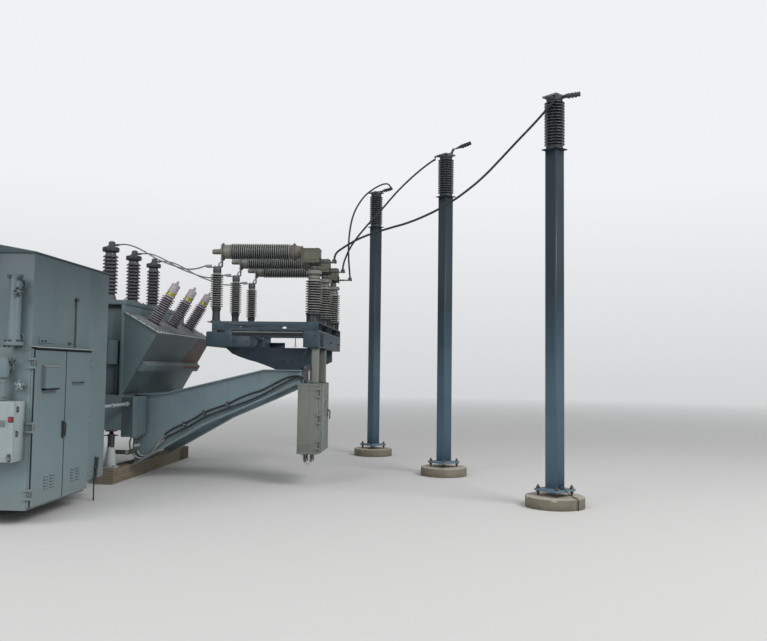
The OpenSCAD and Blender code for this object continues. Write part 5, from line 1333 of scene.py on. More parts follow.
def makeRelayBox(x0, x1, foot, top, face, depth, hinge, levels, knobX, knobZ):
    place = shift(y=-face) @ faceNear
    leaf, metal, dark, red = meshes(4)
    addPan(leaf, (x0, foot), (x1, top), 0.003, depth, place)
    addPlate(leaf, (x0 + 0.030, foot + 0.035), (x1 - 0.062, top - 0.035), 0.010, 0, 0.0022, place)
    addPlate(metal, (x1 - 0.190, foot + 0.330), (x1 - 0.078, foot + 0.395), 0.004, 0.002, 0.0034, place)
    addEach(addScrew, metal, place, (x1 - 0.182, x1 - 0.086), (foot + 0.3375, foot + 0.3875), 0.0034, 0.0028)
    addHinges(metal, shift(hinge, -face), place, levels, 0.030, (hinge, x0 + 0.024), x0 + 0.012, screw=0.0035)
    # red turn knob with its dark dial plate
    knob = place @ shift(knobX, knobZ, 0.001)
    addPlate(dark, (-0.026, -0.026), (0.026, 0.026), 0.004, 0, 0.003, knob)
    addTurned(red, [(0, 3), (20, 3), (20, 10), (17, 13), (0, 13)], 28, knob)
    addPlate(red, (-0.006, -0.020), (0.006, 0.020), 0.004, 0.012, 0.026, knob @ turned(25))
    # pull latches on the box's side and the padlock hasp at the foot
    for z in (0.896, 1.128):
        latch = shift(-4.135, -4.569, z) @ faceX
        addPlate(metal, (-0.010, -0.030), (0.014, 0.030), 0.004, 0, 0.003, latch)
        addBent(dark, drawn([(2, -20, 3), (2, -22, 14), (2, 0, 19), (2, 20, 14), (2, 22, 3)]), 0.0045, 10, 4,
            latch)
    hasp = place @ shift(x1 - 0.030, foot + 0.045, 0)
    addPlate(dark, (-0.014, -0.040), (0.014, 0.034), 0.006, 0, 0.005, hasp)
    addBent(metal, drawn([(-8, 4, 14), (-8, 26, 16), (0, 34, 17), (8, 26, 16), (8, 4, 14)]), 0.003, 8, 4, hasp)
    addPlate(metal, (-0.015, -0.030), (0.015, 0.006), 0.004, 0.006, 0.020, hasp)
    makePieces(
        ("relayDoorLeaf", leaf, "relay_paint", 0.0015, "light_paint"),
        ("relayDoorMetal", metal, "galvanised", 0.0005),
        ("relayDoorHandles", dark, "cable_jacket", 0.0006),
        ("relayKnob", red, "red_plastic", 0.001, "cable_jacket"), body="relay_door", stands=["relay_box_door"])


# Cabinet that hangs from the frame, with its door
hangingSettings = {"face": -1.651, "depth": 0.024, "hinge": -1.508, "levels": (0.550, 0.890, 1.230),
    "sides": (-1.496, -0.650), "handle": (-0.718, 0.930), "grip": (-1.030, 1.000, 1.120)}


def makeHangingCabinet(face, depth, hinge, levels, sides, handle, grip):
    place = shift(face) @ faceX
    y0, y1 = sides
    foot, top = low("hanging_cabinet_door").z, high("hanging_cabinet_door").z
    leaf, metal, dark, light = meshes(4)
    addPan(leaf, (y0, foot), (y1, top), 0.004, depth, place)
    addPlate(leaf, (y0 + 0.06, foot + 0.06), (y1 - 0.13, top - 0.06), 0.012, 0, 0.0025, place)
    addHinges(metal, shift(face, hinge), place, levels, 0.035, (hinge, y0 + 0.034), y0 + 0.020, gap=0.020)
    addPlate(light, (-1.386, foot + 0.010), (-1.366, top - 0.010), 0.002, 0.0020, 0.018, place)
    for z in (0.704, 0.902, 1.120):
        addKnuckle(light, shift(face + 0.019, -1.379), 0.009, z - 0.030, z + 0.030)
    gripY, gripFoot, gripTop = grip
    addBent(light, [(gripY, gripFoot, 0), (gripY, gripFoot + 0.004, 0.020), (gripY, gripFoot + 0.020, 0.026),
        (gripY, gripTop - 0.020, 0.026), (gripY, gripTop - 0.004, 0.020), (gripY, gripTop, 0)], 0.008, 12, 4,
        place)
    y, z = handle
    addPlate(dark, (y - 0.018, z - 0.050), (y + 0.018, z + 0.060), 0.010, 0, 0.009, place)
    addBent(dark, drawn([(0, 35, 6), (0, 34, 26), (0, 10, 31), (0, -70, 29), (0, -82, 22)], y, z, 0), 0.0085,
        12, 5, place)
    addPlate(metal, (y - 0.040, z - 0.02), (y - 0.028, z + 0.24), 0.003, 0.001, 0.006, place)
    addEach(addScrew, metal, place, (y - 0.034,), (z - 0.005, z + 0.225), 0.006, 0.0035)
    addSeal(dark, (y0, foot), (y1, top), 0.004 - depth, 0.005, place)
    makePieces(
        ("hangingDoorLeaf", leaf, "cabinet_paint", 0.0018),
        ("hangingDoorHinges", metal, "galvanised", 0.0006),
        ("hangingDoorStrip", light, "relay_paint", 0.0005, "galvanised"),
        ("hangingDoorHandle", dark, "cable_jacket", 0.001),
        body="hanging_door", stands=["hanging_cabinet_door"])

    # trim of the cabinet itself: top and foot lips, seams, screws and the conduit stubs below
    cadLow, cadHigh = low("hanging_cabinet"), high("hanging_cabinet")
    x0, x1, near, far = cadLow.x, -1.678, -1.500, -0.650
    trim, bolts, stubs, cords, clamps, patches = meshes(6)
    front = shift(y=near) @ faceNear
    foot, top = 0.430, cadHigh.z
    addPlate(trim, (x0 - 0.004, top - 0.028), (x1 + 0.004, top + 0.002), 0.002, 0, 0.006, front)
    addPlate(trim, (x0 - 0.003, foot - 0.002), (x1 + 0.003, foot + 0.034), 0.002, 0, 0.005, front)
    for corner, opposite in (((x0 + 0.012, foot + 0.115), (x1 - 0.012, top - 0.100)), ((x0 + 0.012,
            top - 0.092), (x1 - 0.012, top - 0.036))):
        addPlate(trim, corner, opposite, 0.004, 0, 0.0028, front)
    xs = (x0 + 0.024, (x0 + x1) / 2, x1 - 0.024)
    levels = [foot + 0.128, foot + 0.33, foot + 0.53, foot + 0.73, top - 0.113, top - 0.064]
    addEach(addBolt, bolts, front, xs, levels, 0.0028, 0.009, 0.5)
    addEach(addBolt, bolts, front, xs, [foot + 0.016], 0.005, 0.009, 0.5)
    side = shift(x1) @ faceX
    addPlate(trim, (near, top - 0.004), (far, top + 0.004), 0.002, -0.005, 0.030, side)
    for i in range(4):
        at = shift(x0 + 0.090 + (i % 2) * 0.070, near + 0.110 + i * 0.080)
        addTurned(stubs, [(0, -6), (30, -6), (30, -16), (24, -20), (17, -22), (17, -74), (22, -76), (22, -104),
            (17, -106), (17, -120), (0, -120)], 20, at, foot)
        for k in range(6):  # turns of the flexible sleeve
            addLathe(stubs, [(0.016, foot - 0.030 - 0.007 * k), (0.0195, foot - 0.0335 - 0.007 * k), (0.016,
                foot - 0.037 - 0.007 * k)], 20, at)
    loop = drawn([(65, 20, -4), (75, 20, -60), (110, 30, -150), (150, 30, -152), (170, 30, -70), (172, 30, -4)],
        x0, near, foot)
    for aside in ((0, 0, 0), (0.030, 0.06, 0.02), (-0.015, 0.16, 0.01)):
        addBent(cords, [Vector(p) + Vector(aside) for p in loop], 0.004, 10, 5)
    # clamp on the hanger post with a cable end in it, and the thin cable that comes down to it
    addPlate(clamps, (-1.877, 1.384), (-1.786, 1.596), 0.012, -0.050, 0.010, front)
    addEach(addBolt, bolts, front, (-1.856,), (1.420, 1.490, 1.560), 0.010, 0.016)
    addPlate(patches, (-1.815, 1.392), (-1.792, 1.520), 0.006, 0.010, 0.016, front)
    thin = drawn([(-1905, 30, 1350), (-1900, 10, 1420), (-1893, 0, 1560), (-1880, -6, 1700), (-1850, 0, 1790),
        (-1815, 20, 1828)], 0, near, 0)
    addBent(clamps, thin, 0.005, 10, 5)
    makePieces(
        ("cabinetCords", cords, "pale_jacket", 0, "cable_jacket"),
        ("postClamp", clamps, "dark_steel", 0.001),
        ("clampPatch", patches, "pale_patch", 0.001, "light_paint"),
        ("hangingCabinetTrim", trim, "cabinet_paint", 0.0008),
        ("hangingCabinetBolts", bolts, "galvanised"),
        ("conduitStubs", stubs, "galvanised"))


makeControlDoors(**doorSettings)
makeRelayBox(**relaySettings)
makeHangingCabinet(**hangingSettings)
print("doors hung")


# Control enclosure: seams, lifting lugs, pipework, drip edge and the fittings above the doors
enclosureSettings = {"endX": -4.090, "nearY": -4.420, "farY": -2.600, "rearX": -6.690, "eave": 2.650,
    "floor": 0.250, "recessX": -4.690, "cabinetFarY": -3.130, "cabinetTop": 1.725, "strip": 0.050}
pipeSettings = {"x": -4.226, "y": -4.512, "foot": 1.735, "head": 2.200, "top": 2.420, "radius": 0.058,
    "drainX": -4.312, "drainLevels": (1.203, 1.421, 1.630), "starX": -4.170, "starZ": 1.353}


def addStrip(shell, screws, start, end, width, place):
    # cover strip of a sheet joint with its row of screws, from start to end in the face's two axes
    span = Vector((end[0] - start[0], end[1] - start[1], 0))
    turn = place @ shift(start[0], start[1]) @ turned(degrees(atan2(span.y, span.x)))
    addPlate(shell, (0, -width / 2), (span.length, width / 2), 0.004, 0, 0.003, turn)
    count = max(2, int(span.length / 0.16))
    for k in range(count):
        for side in (-1, 1):
            addScrew(screws, turn @ shift((k + 0.5) * span.length / count, side * width * 0.3, 0.003), 0.0045)


def makeEnclosureTrim(endX, nearY, farY, rearX, eave, floor, recessX, cabinetFarY, strip, **others):
    shell, screws, lugs = meshes(3)
    nearFace = shift(y=nearY) @ faceNear
    endFace = shift(endX) @ faceX
    width = strip
    inset = width / 2 + 0.006
    for x in (rearX + inset, rearX + 0.90, rearX + 1.45, recessX - inset):
        addStrip(shell, screws, (x, floor + 0.02), (x, eave - 0.02), width, nearFace)
    # gasket between the cabinet's rim and the doors
    y0, y1, z0, z1 = nearY + 0.004, cabinetFarY - 0.004, 0.180, 1.711
    for corner, opposite in (((y0, z0), (y0 + 0.014, z1)), ((y1 - 0.014, z0), (y1, z1)), ((y0, z0), (y1,
            z0 + 0.014)), ((y0, z1 - 0.014), (y1, z1))):
        addBlock(shell, (*corner, 0.0003), (*opposite, 0.0026), endFace)
    for y, face in ((nearY, -1), (farY, 1)):
        for x in (rearX + 0.45, endX - 0.42):
            ear = drawn([(-55, -150), (55, -150), (55, -30), (30, 0), (-30, 0), (-55, -30)], x, eave)
            addPrism(lugs, ear, y, y + face * 0.012, sideways)
            for dx, dz in ((-0.03, -0.12), (0.03, -0.12), (0.0, -0.085)):
                addBolt(lugs, shift(x + dx, y + face * 0.012, eave + dz) @ turned(-90 * face, "X"), 0.016)
            addEye(lugs, (x, y + face * 0.013, eave - 0.038), 0.017, 0.004, 16, 8)
    makePieces(
        ("enclosureStrips", shell, "enclosure_paint", 0.001),
        ("enclosureScrews", screws, "galvanised"),
        ("enclosureLugs", lugs, "enclosure_paint", 0.001))


def addFlange(bm, bolts, place, radius, thickness, count, bolt):
    addLathe(bm, [(0, 0), (radius, 0), (radius, thickness * 0.8), (radius - 0.003, thickness), (0, thickness)],
        36, place)
    addBoltRing(bolts, place @ shift(z=thickness), radius * 0.82, count, bolt)


def makePipework(x, y, foot, head, top, radius, drainX, drainLevels, starX, starZ):
    cast, bolts, dark, light, metal = meshes(5)
    wall = enclosureSettings["nearY"]
    stand = shift(x, y)
    addFlange(cast, dark, stand @ shift(z=foot + 0.022) @ turned(180, "X"), 0.090, 0.020, 6, 0.024)
    addFlange(cast, dark, stand @ shift(z=foot + 0.022), 0.090, 0.016, 6, 0.024)
    addLathe(cast, [(0, foot + 0.03), (radius + 0.008, foot + 0.03), (radius + 0.002, foot + 0.055), (radius,
        foot + 0.07), (radius, top - 0.030), (radius - 0.010, top - 0.012), (radius - 0.030, top), (0, top)],
        40, stand)
    # cross bar of the head with a plug at each end, and the small flange below it
    addRod(cast, (x - 0.050, y - 0.012, top - 0.022), (x + 0.075, y - 0.012, top - 0.022), 0.026, 28)
    for plugX in (-0.040, 0.070):
        addNut(dark, shift(x + plugX, y - 0.036, top - 0.020) @ turned(90, "X"), 0.036, 0.024)
    side = shift(x + 0.046, y - 0.030, head + 0.050) @ turned(40, "Z") @ turned(62, "X")
    addFlange(cast, dark, side, 0.040, 0.022, 5, 0.022)
    # side outlets with their flanges and valves: height, bore
    for z, bore, at in ((2.330, 0.040, x), (1.810, 0.038, x), (1.525, 0.036, drainX)):
        out = shift(at, wall, z) @ turned(90, "X")
        addFlange(cast, bolts, out, bore * 1.62, 0.016, 6, 0.013)
        addLathe(cast, [(0, 0.014), (bore, 0.014), (bore * 0.92, 0.03), (bore * 0.92, bore * 2.6), (bore * 1.1,
            bore * 2.8), (0, bore * 2.8)], 28, out)
    drain = shift(drainX, y)
    low0, low1, low2 = drainLevels
    addLathe(cast, [(0, low1 - 0.004), (0.030, low1 - 0.004), (0.048, low1 + 0.012), (0.052, low1 + 0.03),
        (0.052, low2 - 0.04), (0.046, low2 - 0.02), (0.046, low2 - 0.012), (0.030, low2), (0, low2)], 32, drain)
    addBoltRing(bolts, drain @ shift(z=low2 - 0.012), 0.036, 4, 0.012)
    addLathe(cast, [(0, low0), (0.026, low0), (0.026, low1), (0, low1)], 28, drain)
    for z in (low0 + 0.006, low1 - 0.04):
        addTurned(cast, [(24, 0), (34, 0), (34, 22), (24, 22)], 28, drain, z)
    addBoltRing(dark, drain @ shift(z=low0 + 0.028), 0.030, 4, 0.012)
    # cross handle above and star handle below, on their spindles
    cross = shift(drainX + 0.083, y + 0.010, 1.590) @ turned(90, "X")
    addRod(dark, (drainX + 0.040, y, 1.590), (drainX + 0.083, y, 1.590), 0.012)
    addTurned(dark, [(0, -14), (18, -14), (20, 10), (12, 20), (0, 20)], 20, cross)
    for turn in (20, 110):
        arm = cross @ turned(turn)
        addRod(dark, arm @ Vector((-0.034, 0, 0.006)), arm @ Vector((0.034, 0, 0.006)), 0.0075, 12)
    star = shift(starX, wall, starZ) @ turned(90, "X")
    addFlange(cast, bolts, star, 0.039, 0.014, 4, 0.010)
    addTurned(cast, [(0, 12), (20, 12), (23, 30), (16, 44), (10, 56), (0, 56)], 24, star)
    addTurned(light, [(0, 50), (20, 50), (24, 58), (22, 68), (10, 74), (0, 74)], 20, star)
    for k in range(5):
        lobe = star @ turned(72 * k + 18)
        addPlate(cast, (0.004, -0.009), (0.040, 0.009), 0.0045, 0.053, 0.064, lobe)
        addTurned(cast, [(0, 51), (12, 52), (16, 58), (12, 65), (0, 66)], 14, lobe @ shift(0.04))
    addRod(dark, star @ Vector((0, 0, 0.070)), star @ Vector((0, 0, 0.082)), 0.008, 12)
    # cable gland and its conduit beside the drip edge
    rodX, rodY = enclosureSettings["endX"] + 0.016, -3.490
    addRod(metal, (rodX, rodY, 1.752), (rodX, rodY, 2.258), 0.0085)
    for z in (1.760, 2.19):
        addPlate(cast, (rodY - 0.030, z), (rodY + 0.030, z + 0.022), 0.006, 0.0, 0.004,
            shift(enclosureSettings["endX"]) @ faceX)
        addTurned(metal, [(8, 0), (13, 0), (13, 22), (8, 22)], 18, shift(rodX, rodY), z)
    addPlate(dark, (rodY - 0.026, 2.250), (rodY + 0.026, 2.285), 0.006, 0, 0.030,
        shift(enclosureSettings["endX"]) @ faceX)
    makePieces(
        ("pipeCastings", cast, "enclosure_paint", 0.0008),
        ("pipeBolts", bolts, "galvanised"),
        ("pipeDarkParts", dark, "dark_steel", 0.0006),
        ("pipeLightParts", light, "relay_paint", 0, "light_paint"),
        ("rodConduit", metal, "olive_paint", 0, "dark_steel"), stands=["enclosure_pipework"])


def makeDripEdge(endX, cabinetTop, **others):
    foot, back = cabinetTop - 0.004, endX
    y0, y1 = low("drip_edge").y, high("drip_edge").y
    place = shift(back) @ faceX
    sheet, shell, shadeUnderDrip, dark, bolts = meshes(5)
    fold = drawn([(0, 16), (0, 10), (58, 4), (58, 2), (62, 2), (62, 10), (4, 16)], 0, foot)
    addPrism(sheet, fold, y0, y1, place @ section)
    # dark strip of painted shade under the drip edge's lip
    addBlock(shadeUnderDrip, (y0 + 0.040, foot - 0.009, 0.0), (y1 - 0.020, foot + 0.0015, 0.0615), place)
    addPlate(shell, (y0 + 0.012, foot + 0.012), (y1 - 0.012, foot + 0.046), 0.002, 0, 0.003, place)
    for k in range(12):
        addScrew(bolts, place @ shift(y0 + 0.05 + k * (y1 - y0 - 0.1) / 11, foot + 0.040, 0.003), 0.0045)
    # sloped bracket with two bolts, and the hook beside it
    addPrism(shell, drawn([(-4285, 52), (-3985, 52), (-4230, 100), (-4285, 104)], 0, foot), 0, 0.008, place)
    for y in (-4.235, -4.165):
        addBolt(dark, place @ shift(y, foot + 0.072, 0.008), 0.018)
    addPlate(dark, (-3.636, foot + 0.052), (-3.596, foot + 0.078), 0.004, 0, 0.006, place)
    addBent(bolts, drawn([(-3616, 70, 4), (-3616, 70, 26), (-3616, 56, 40), (-3616, 40, 32)], 0, foot, 0),
        0.005, 10, 5, place)
    makePiece("dripShadeStrip", shadeUnderDrip, "shadow_gap", 0, "dark_steel", stands=["drip_edge"])
    makePiece("dripFlashing", shell, "enclosure_paint", 0.0008)
    makePiece("dripEdge", sheet, "relay_paint", 0.0008, "light_paint", stands=["drip_edge"])
    makePieces(("dripBracket", dark, "dark_steel", 0.0008), ("dripBolts", bolts, "galvanised"))


makeEnclosureTrim(**enclosureSettings)
makePipework(**pipeSettings)
makeDripEdge(**enclosureSettings)
print("enclosure dressed")


# Transformer: bolts of the cover, rim of the nose, box in the recess and junction box
tankSettings = {"coverBolt": 0.022, "coverPitch": 0.155, "rimWidth": 0.045, "rimBolt": 0.018,
    "recessBox": (-4.533, -4.399, 1.580, 1.890), "wallY": -1.430, "nose": (0.456, 0, 0.825),
    "channelShare": 0.467, "channelEnd": ((-0.075, 0.001), (-0.049, 0.075), (0.049, 0.075), (0.075, 0.001))}


def makeTankTrim(coverBolt, coverPitch, rimWidth, rimBolt, recessBox, wallY, nose, channelShare, channelEnd):
    bolts, light, shell, panel = meshes(4)
    cover0, cover1 = low("tank_cover"), high("tank_cover")
    inset = 0.034
    for axis in range(2):
        span = (cover1[axis] - cover0[axis]) - 2 * inset
        count = int(span / coverPitch)
        for k in range(count + (1 - axis)):
            along = cover0[axis] + inset + (k + 0.5 * axis) * span / count
            for across in (cover0[1 - axis] + inset, cover1[1 - axis] - inset):
                at = shift(along, across, cover1.z) if axis == 0 else shift(across, along, cover1.z)
                addBolt(bolts, at, coverBolt)
    for x in (cover0.x + 0.35, cover1.x - 0.35):
        for y, face in ((cover0.y + 0.02, -1), (cover1.y - 0.02, 1)):
            ear = drawn([(-75, -2), (75, -2), (45, 75), (20, 95), (-20, 95), (-45, 75)], x, cover1.z)
            addPrism(shell, ear, y - face * 0.10, y - face * 0.118, sideways)
            addEye(shell, (x, y - face * 0.109, cover1.z + 0.058), 0.021, 0.012, 18, 10)
    # rim strip along the nose's tip and cheeks, with its bolts
    nose0, nose1 = low("bushing_nose"), high("bushing_nose")
    slope = radians(bushingSettings["noseSlope"])
    run = (nose1.x - nose0.x) / cos(slope)
    top = shift(nose0.x, 0, nose1.z) @ turned(bushingSettings["noseSlope"], "Y")
    y0, y1 = nose0.y + rimWidth, nose1.y - rimWidth
    for y0, y1, x0, x1 in ((nose0.y, y0, 0.02, run), (y1, nose1.y, 0.02, run), (y0, y1, run - rimWidth, run)):
        addBlock(light, (x0, y0, -0.001), (x1, y1, 0.004), top)
        count = max(4, int(max(x1 - x0, y1 - y0) / 0.11))
        for k in range(count):
            share = (k + 0.5) / count
            at = (x0 + share * (x1 - x0), (y0 + y1) / 2) if x1 - x0 > y1 - y0 else ((x0 + x1) / 2,
                y0 + share * (y1 - y0))
            addBolt(bolts, top @ shift(at[0], at[1], 0.004), rimBolt)
    # small cabinet in the recess behind the corner stiffener
    x0, x1, z0, z1 = recessBox
    place = shift(y=wallY) @ faceNear
    addPlate(panel, (x0, z0), (x1, z1), 0.008, 0, 0.062, place)
    addPlate(panel, (x0 - 0.004, z0 - 0.004), (x1 + 0.004, z1 + 0.004), 0.010, 0.062, 0.068, place)
    addEach(addScrew, bolts, place, (x0 + 0.012, x1 - 0.012), (z0 + 0.015, (z0 + z1) / 2, z1 - 0.015), 0.068,
        0.005)
    addRod(shell, (x1 - 0.016, wallY - 0.030, 1.166), (x1 - 0.016, wallY - 0.030, z0), 0.012)
    makePieces(("tankBolts", bolts, "bolt_steel"), ("noseRim", light, "light_paint", 0.0012))
    # closed ends of the stiffening channel under the nose
    channel0, channel1 = low("nose_channel"), high("nose_channel")
    along = Vector(nose).normalized()
    outward = Vector((along.z, 0, -along.x))
    centre = Vector((nose0.x, 0, nose0.z)) + channelShare * Vector(nose)
    ends = [centre + along * step + outward * rise for step, rise in channelEnd]
    for y in (channel0.y - 0.0032, channel1.y + 0.0002):
        addPrism(panel, [(point.x, point.z) for point in ends], y, y + 0.003, sideways)
    makePieces(("recessBox", panel, "enclosure_paint", 0.0012), ("tankLugs", shell, "tank_paint", 0.001))


boxSettings = {"y0": -1.540, "y1": -1.037, "x": -4.227, "z": 1.050, "radius": 0.021, "drops": (-1.215, -1.115),
    "drop": 0.024, "bendZ": 0.465, "bend": 0.090, "endX": -4.537, "wallY": -2.600}


def makeJunctionBox(y0, y1, x, z, radius, drops, drop, bendZ, bend, endX, wallY):
    shell, bolts, pipes, hubs = meshes(4)
    face = high("junction_box").x
    z0, z1 = low("junction_box").z + 0.008, high("junction_box").z - 0.008
    place = shift(face) @ faceX
    addPlate(shell, (y0 + 0.020, z0 + 0.020), (y1 - 0.020, z1 - 0.020), 0.010, 0, 0.0025, place)
    levels = [z0 + 0.010 + k * (z1 - z0 - 0.020) / 3 for k in range(4)]
    addEach(addBolt, bolts, place, (y0 + 0.006, y1 - 0.006), levels, 0, 0.012)
    addEach(addBolt, bolts, place, (y0 + 0.17, y1 - 0.17), (z0 + 0.006, z1 - 0.006), 0, 0.012)
    # rigid conduits with couplings, clamps and hubs
    addRod(hubs, (x, wallY, z), (x, y0, z), radius, 28)
    for y in (-2.585, -2.06, -1.600):
        addRod(hubs, (x, y - 0.030, z), (x, y + 0.030, z), radius + 0.007, 28)
        for side in (-0.030, 0.022):
            addRod(hubs, (x, y + side, z), (x, y + side + 0.008, z), radius + 0.010, 8)
    addRod(hubs, (x, y0 - 0.022, z), (x, y0, z), radius + 0.013, 8)
    under = low("junction_box").z + 0.008
    for y in drops:
        arc = [Vector((x - bend + bend * cos(a), y, bendZ - bend * sin(a))) for a in (pi / 2 * k / 10
            for k in range(11))]
        addTube(pipes, [Vector((x, y, under)), Vector((x, y, bendZ + 0.01)), *arc, Vector((endX, y,
            bendZ - bend))], drop, 24)
        for z2 in (under - 0.030, bendZ + 0.004):
            addRod(hubs, (x, y, z2 - 0.012), (x, y, z2 + 0.022), drop + 0.007, 24)
        addRod(hubs, (x, y, under - 0.008), (x, y, under), drop + 0.013, 8)
        addRod(hubs, (x - bend - 0.030, y, bendZ - bend), (x - bend + 0.004, y, bendZ - bend), drop + 0.007, 24)
    makePieces(("junctionBoxCover", shell, "tank_paint", 0.001), ("junctionBoxBolts", bolts, "galvanised"))
    makePieces(
        ("conduitPipes", pipes, "olive_paint", 0, "galvanised"),
        ("conduitCouplings", hubs, "relay_paint", 0.0008, "light_paint"), stands=["conduits"])


makeTankTrim(**tankSettings)
makeJunctionBox(**boxSettings)
print("transformer dressed")


# Gooseneck: cables clipped to the near web, welds, jacks and timbers
beamSettings = {"webs": (-1.020, 0.540), "webThickness": 0.016, "cable": 0.011, "start": -4.302, "loop": 0.440,
    "lanes": (-1.0393, -1.0643), "outlines": {"lower": [(-4.302, 0.190), (-3.865, 0.442), (-3.312, 0.761),
    (-2.648, 1.052), (-1.982, 1.360)], "upper": [(-1.982, 1.530), (-2.502, 1.530), (-3.869, 1.192), (-4.302,
    1.165)]}}
cableRuns = [[(40, 615), (30, 520), (36, 430), (64, 355), (110, 318), (170, 318), (232, 352), (290, 420), (338,
    500), (392, 575), (462, 640), (562, 705), (702, 770), (852, 850), (972, 925), (1122, 985), (1302, 1050),
    (1452, 1125), (1602, 1188), (1762, 1240), (1902, 1312), (2052, 1392), (2152, 1432), (2242, 1446), (2312,
    1436), (2357, 1402), (2372, 1350)], [(-6, 615), (-52, 520), (-44, 420), (-10, 350), (50, 300), (130, 285),
    (205, 318), (268, 372), (326, 446), (396, 520), (482, 585), (602, 650), (786, 742), (912, 820), (1027, 882),
    (1202, 950), (1360, 1010), (1562, 1085), (1756, 1168), (1892, 1240), (2019, 1312), (2132, 1372), (2216,
    1412), (2292, 1424), (2357, 1412), (2394, 1384), (2402, 1350)]]


def makeBeamCables(webs, webThickness, cable, start, loop, lanes, **others):
    cables, pale, clips, bolts = meshes(4)
    web = webs[0] - webThickness / 2
    for run, y in zip(cableRuns, lanes):
        path = smoothPath([(start + x / 1000, y, z / 1000) for x, z in run], 4)
        border = start + loop
        # the same cable is pale in the loop and dark along the web, where the dark jacket is painted shade
        addTube(pale, [point for point in path if point.x < border], cable, 14)
        addTube(cables, [point for point in path if point.x > border - 0.02], cable, 14)
    for k in (10, 12, 14, 16, 18, 20, 22):
        x, z = cableRuns[0][k]
        before, after = cableRuns[0][k - 1], cableRuns[0][k + 1]
        slope = degrees(atan2(after[1] - before[1], after[0] - before[0]))
        other = min((point for point in cableRuns[1]), key=lambda point: abs(point[0] - x))
        place = shift(start + x / 1000, web, z / 1000) @ turned(-slope, "Y")
        depth = (z - other[1]) / 1000
        band = [Vector((0, 0.002, 0.040)), Vector((0, -0.006, 0.016)), Vector((0, -0.026, 0.013)), Vector((0,
            -0.051, -0.004)), Vector((0, -0.050, -0.024)), Vector((0, -0.020, -0.030)), Vector((0, 0.002,
            -0.040))]
        if abs(depth) < 0.05:
            for offset in (-0.006, 0.0, 0.006):
                addTube(clips, [place @ (p + Vector((offset, 0, 0))) for p in smoothPath(band, 4)], 0.0035, 6)
        for dz in (0.036, -0.036):
            addBolt(bolts, place @ shift(0, 0, dz) @ turned(90, "X"), 0.012)
    makePieces(
        ("beamCableRuns", cables, "cable_jacket"),
        ("beamCableLoops", pale, "pale_jacket", 0, "cable_jacket"), stands=["beam_cables"])
    makePieces(("beamCableClips", clips, "galvanised"), ("beamCableBolts", bolts, "galvanised"))


def makeBeamWelds(webs, webThickness, outlines, **others):
    welds = bmesh.new()
    half = webThickness / 2
    for seed, web in enumerate(webs):
        for side in (-1, 1):
            y = web + side * (half + 0.002)
            for name, lift in (("lower", 0.022), ("upper", -0.018)):
                addWeld(welds, [(x, y, z + lift) for x, z in outlines[name]], 0.006, seed * 10 + side)
    makePiece("beamWelds", welds, "beam_paint")


jackSettings = {"places": [(x, y) for x in (-4.452, -6.902) for y in (-1.480, 1.000)], "foot": 0.085,
    "floor": 0.200, "top": 0.700, "tube": 0.045, "block": 0.305, "taper": 0.515}


def makeJacks(places, foot, floor, top, tube, block, taper):
    light, dark, steel = meshes(3)
    rib = [(-foot + 0.006, floor + 0.020), (foot - 0.006, floor + 0.020), (foot - 0.006, block), (tube - 0.006,
        taper), (-tube + 0.006, taper), (-foot + 0.006, block)]
    for x, y in places:
        at = shift(x, y)
        addPlate(light, (-foot, -foot), (foot, foot), 0.010, floor, floor + 0.022, at)
        for turn in (0, 90):
            addPrism(light, rib, -0.009, 0.009, at @ turned(turn) @ sideways)
        addLathe(light, [(0, floor + 0.02), (foot - 0.012, floor + 0.02), (foot - 0.012, floor + 0.085),
            (tube + 0.006, 0.430), (tube + 0.006, 0.470), (0, 0.470)], 28, at)
        # the tube is drawn in dark steel as painted shade under the deck
        addLathe(dark, [(0, 0.460), (tube, 0.460), (tube, 0.612), (tube + 0.006, 0.616), (tube + 0.006, 0.640),
            (tube - 0.002, 0.646), (0, 0.646)], 32, at)
        addThread(steel, at, 0.030, 0.640, 0.682, 0.006, 24)
        addPlate(steel, (-0.060, -0.060), (0.060, 0.060), 0.008, 0.682, top, at)
        for turn in (45, 135, 225, 315):
            addBolt(steel, at @ turned(turn) @ shift(0.098, 0, floor + 0.022), 0.018)
        for turn in (20, 200):
            addRod(steel, at @ turned(turn) @ Vector((tube - 0.004, 0, 0.628)),
                at @ turned(turn) @ Vector((tube + 0.045, 0, 0.628)), 0.008, 12)
    makePieces(
        ("jackStands", light, "light_paint", 0.0015),
        ("jackTubes", dark, "dark_steel", 0.001),
        ("jackScrews", steel, "bolt_steel", 0.0006), stands=["jacks"])


timberSettings = {"places": (-4.452, -6.902), "width": 0.220, "height": 0.200, "runs": ((-1.640, 1.160),
    (1.1603, 1.640))}


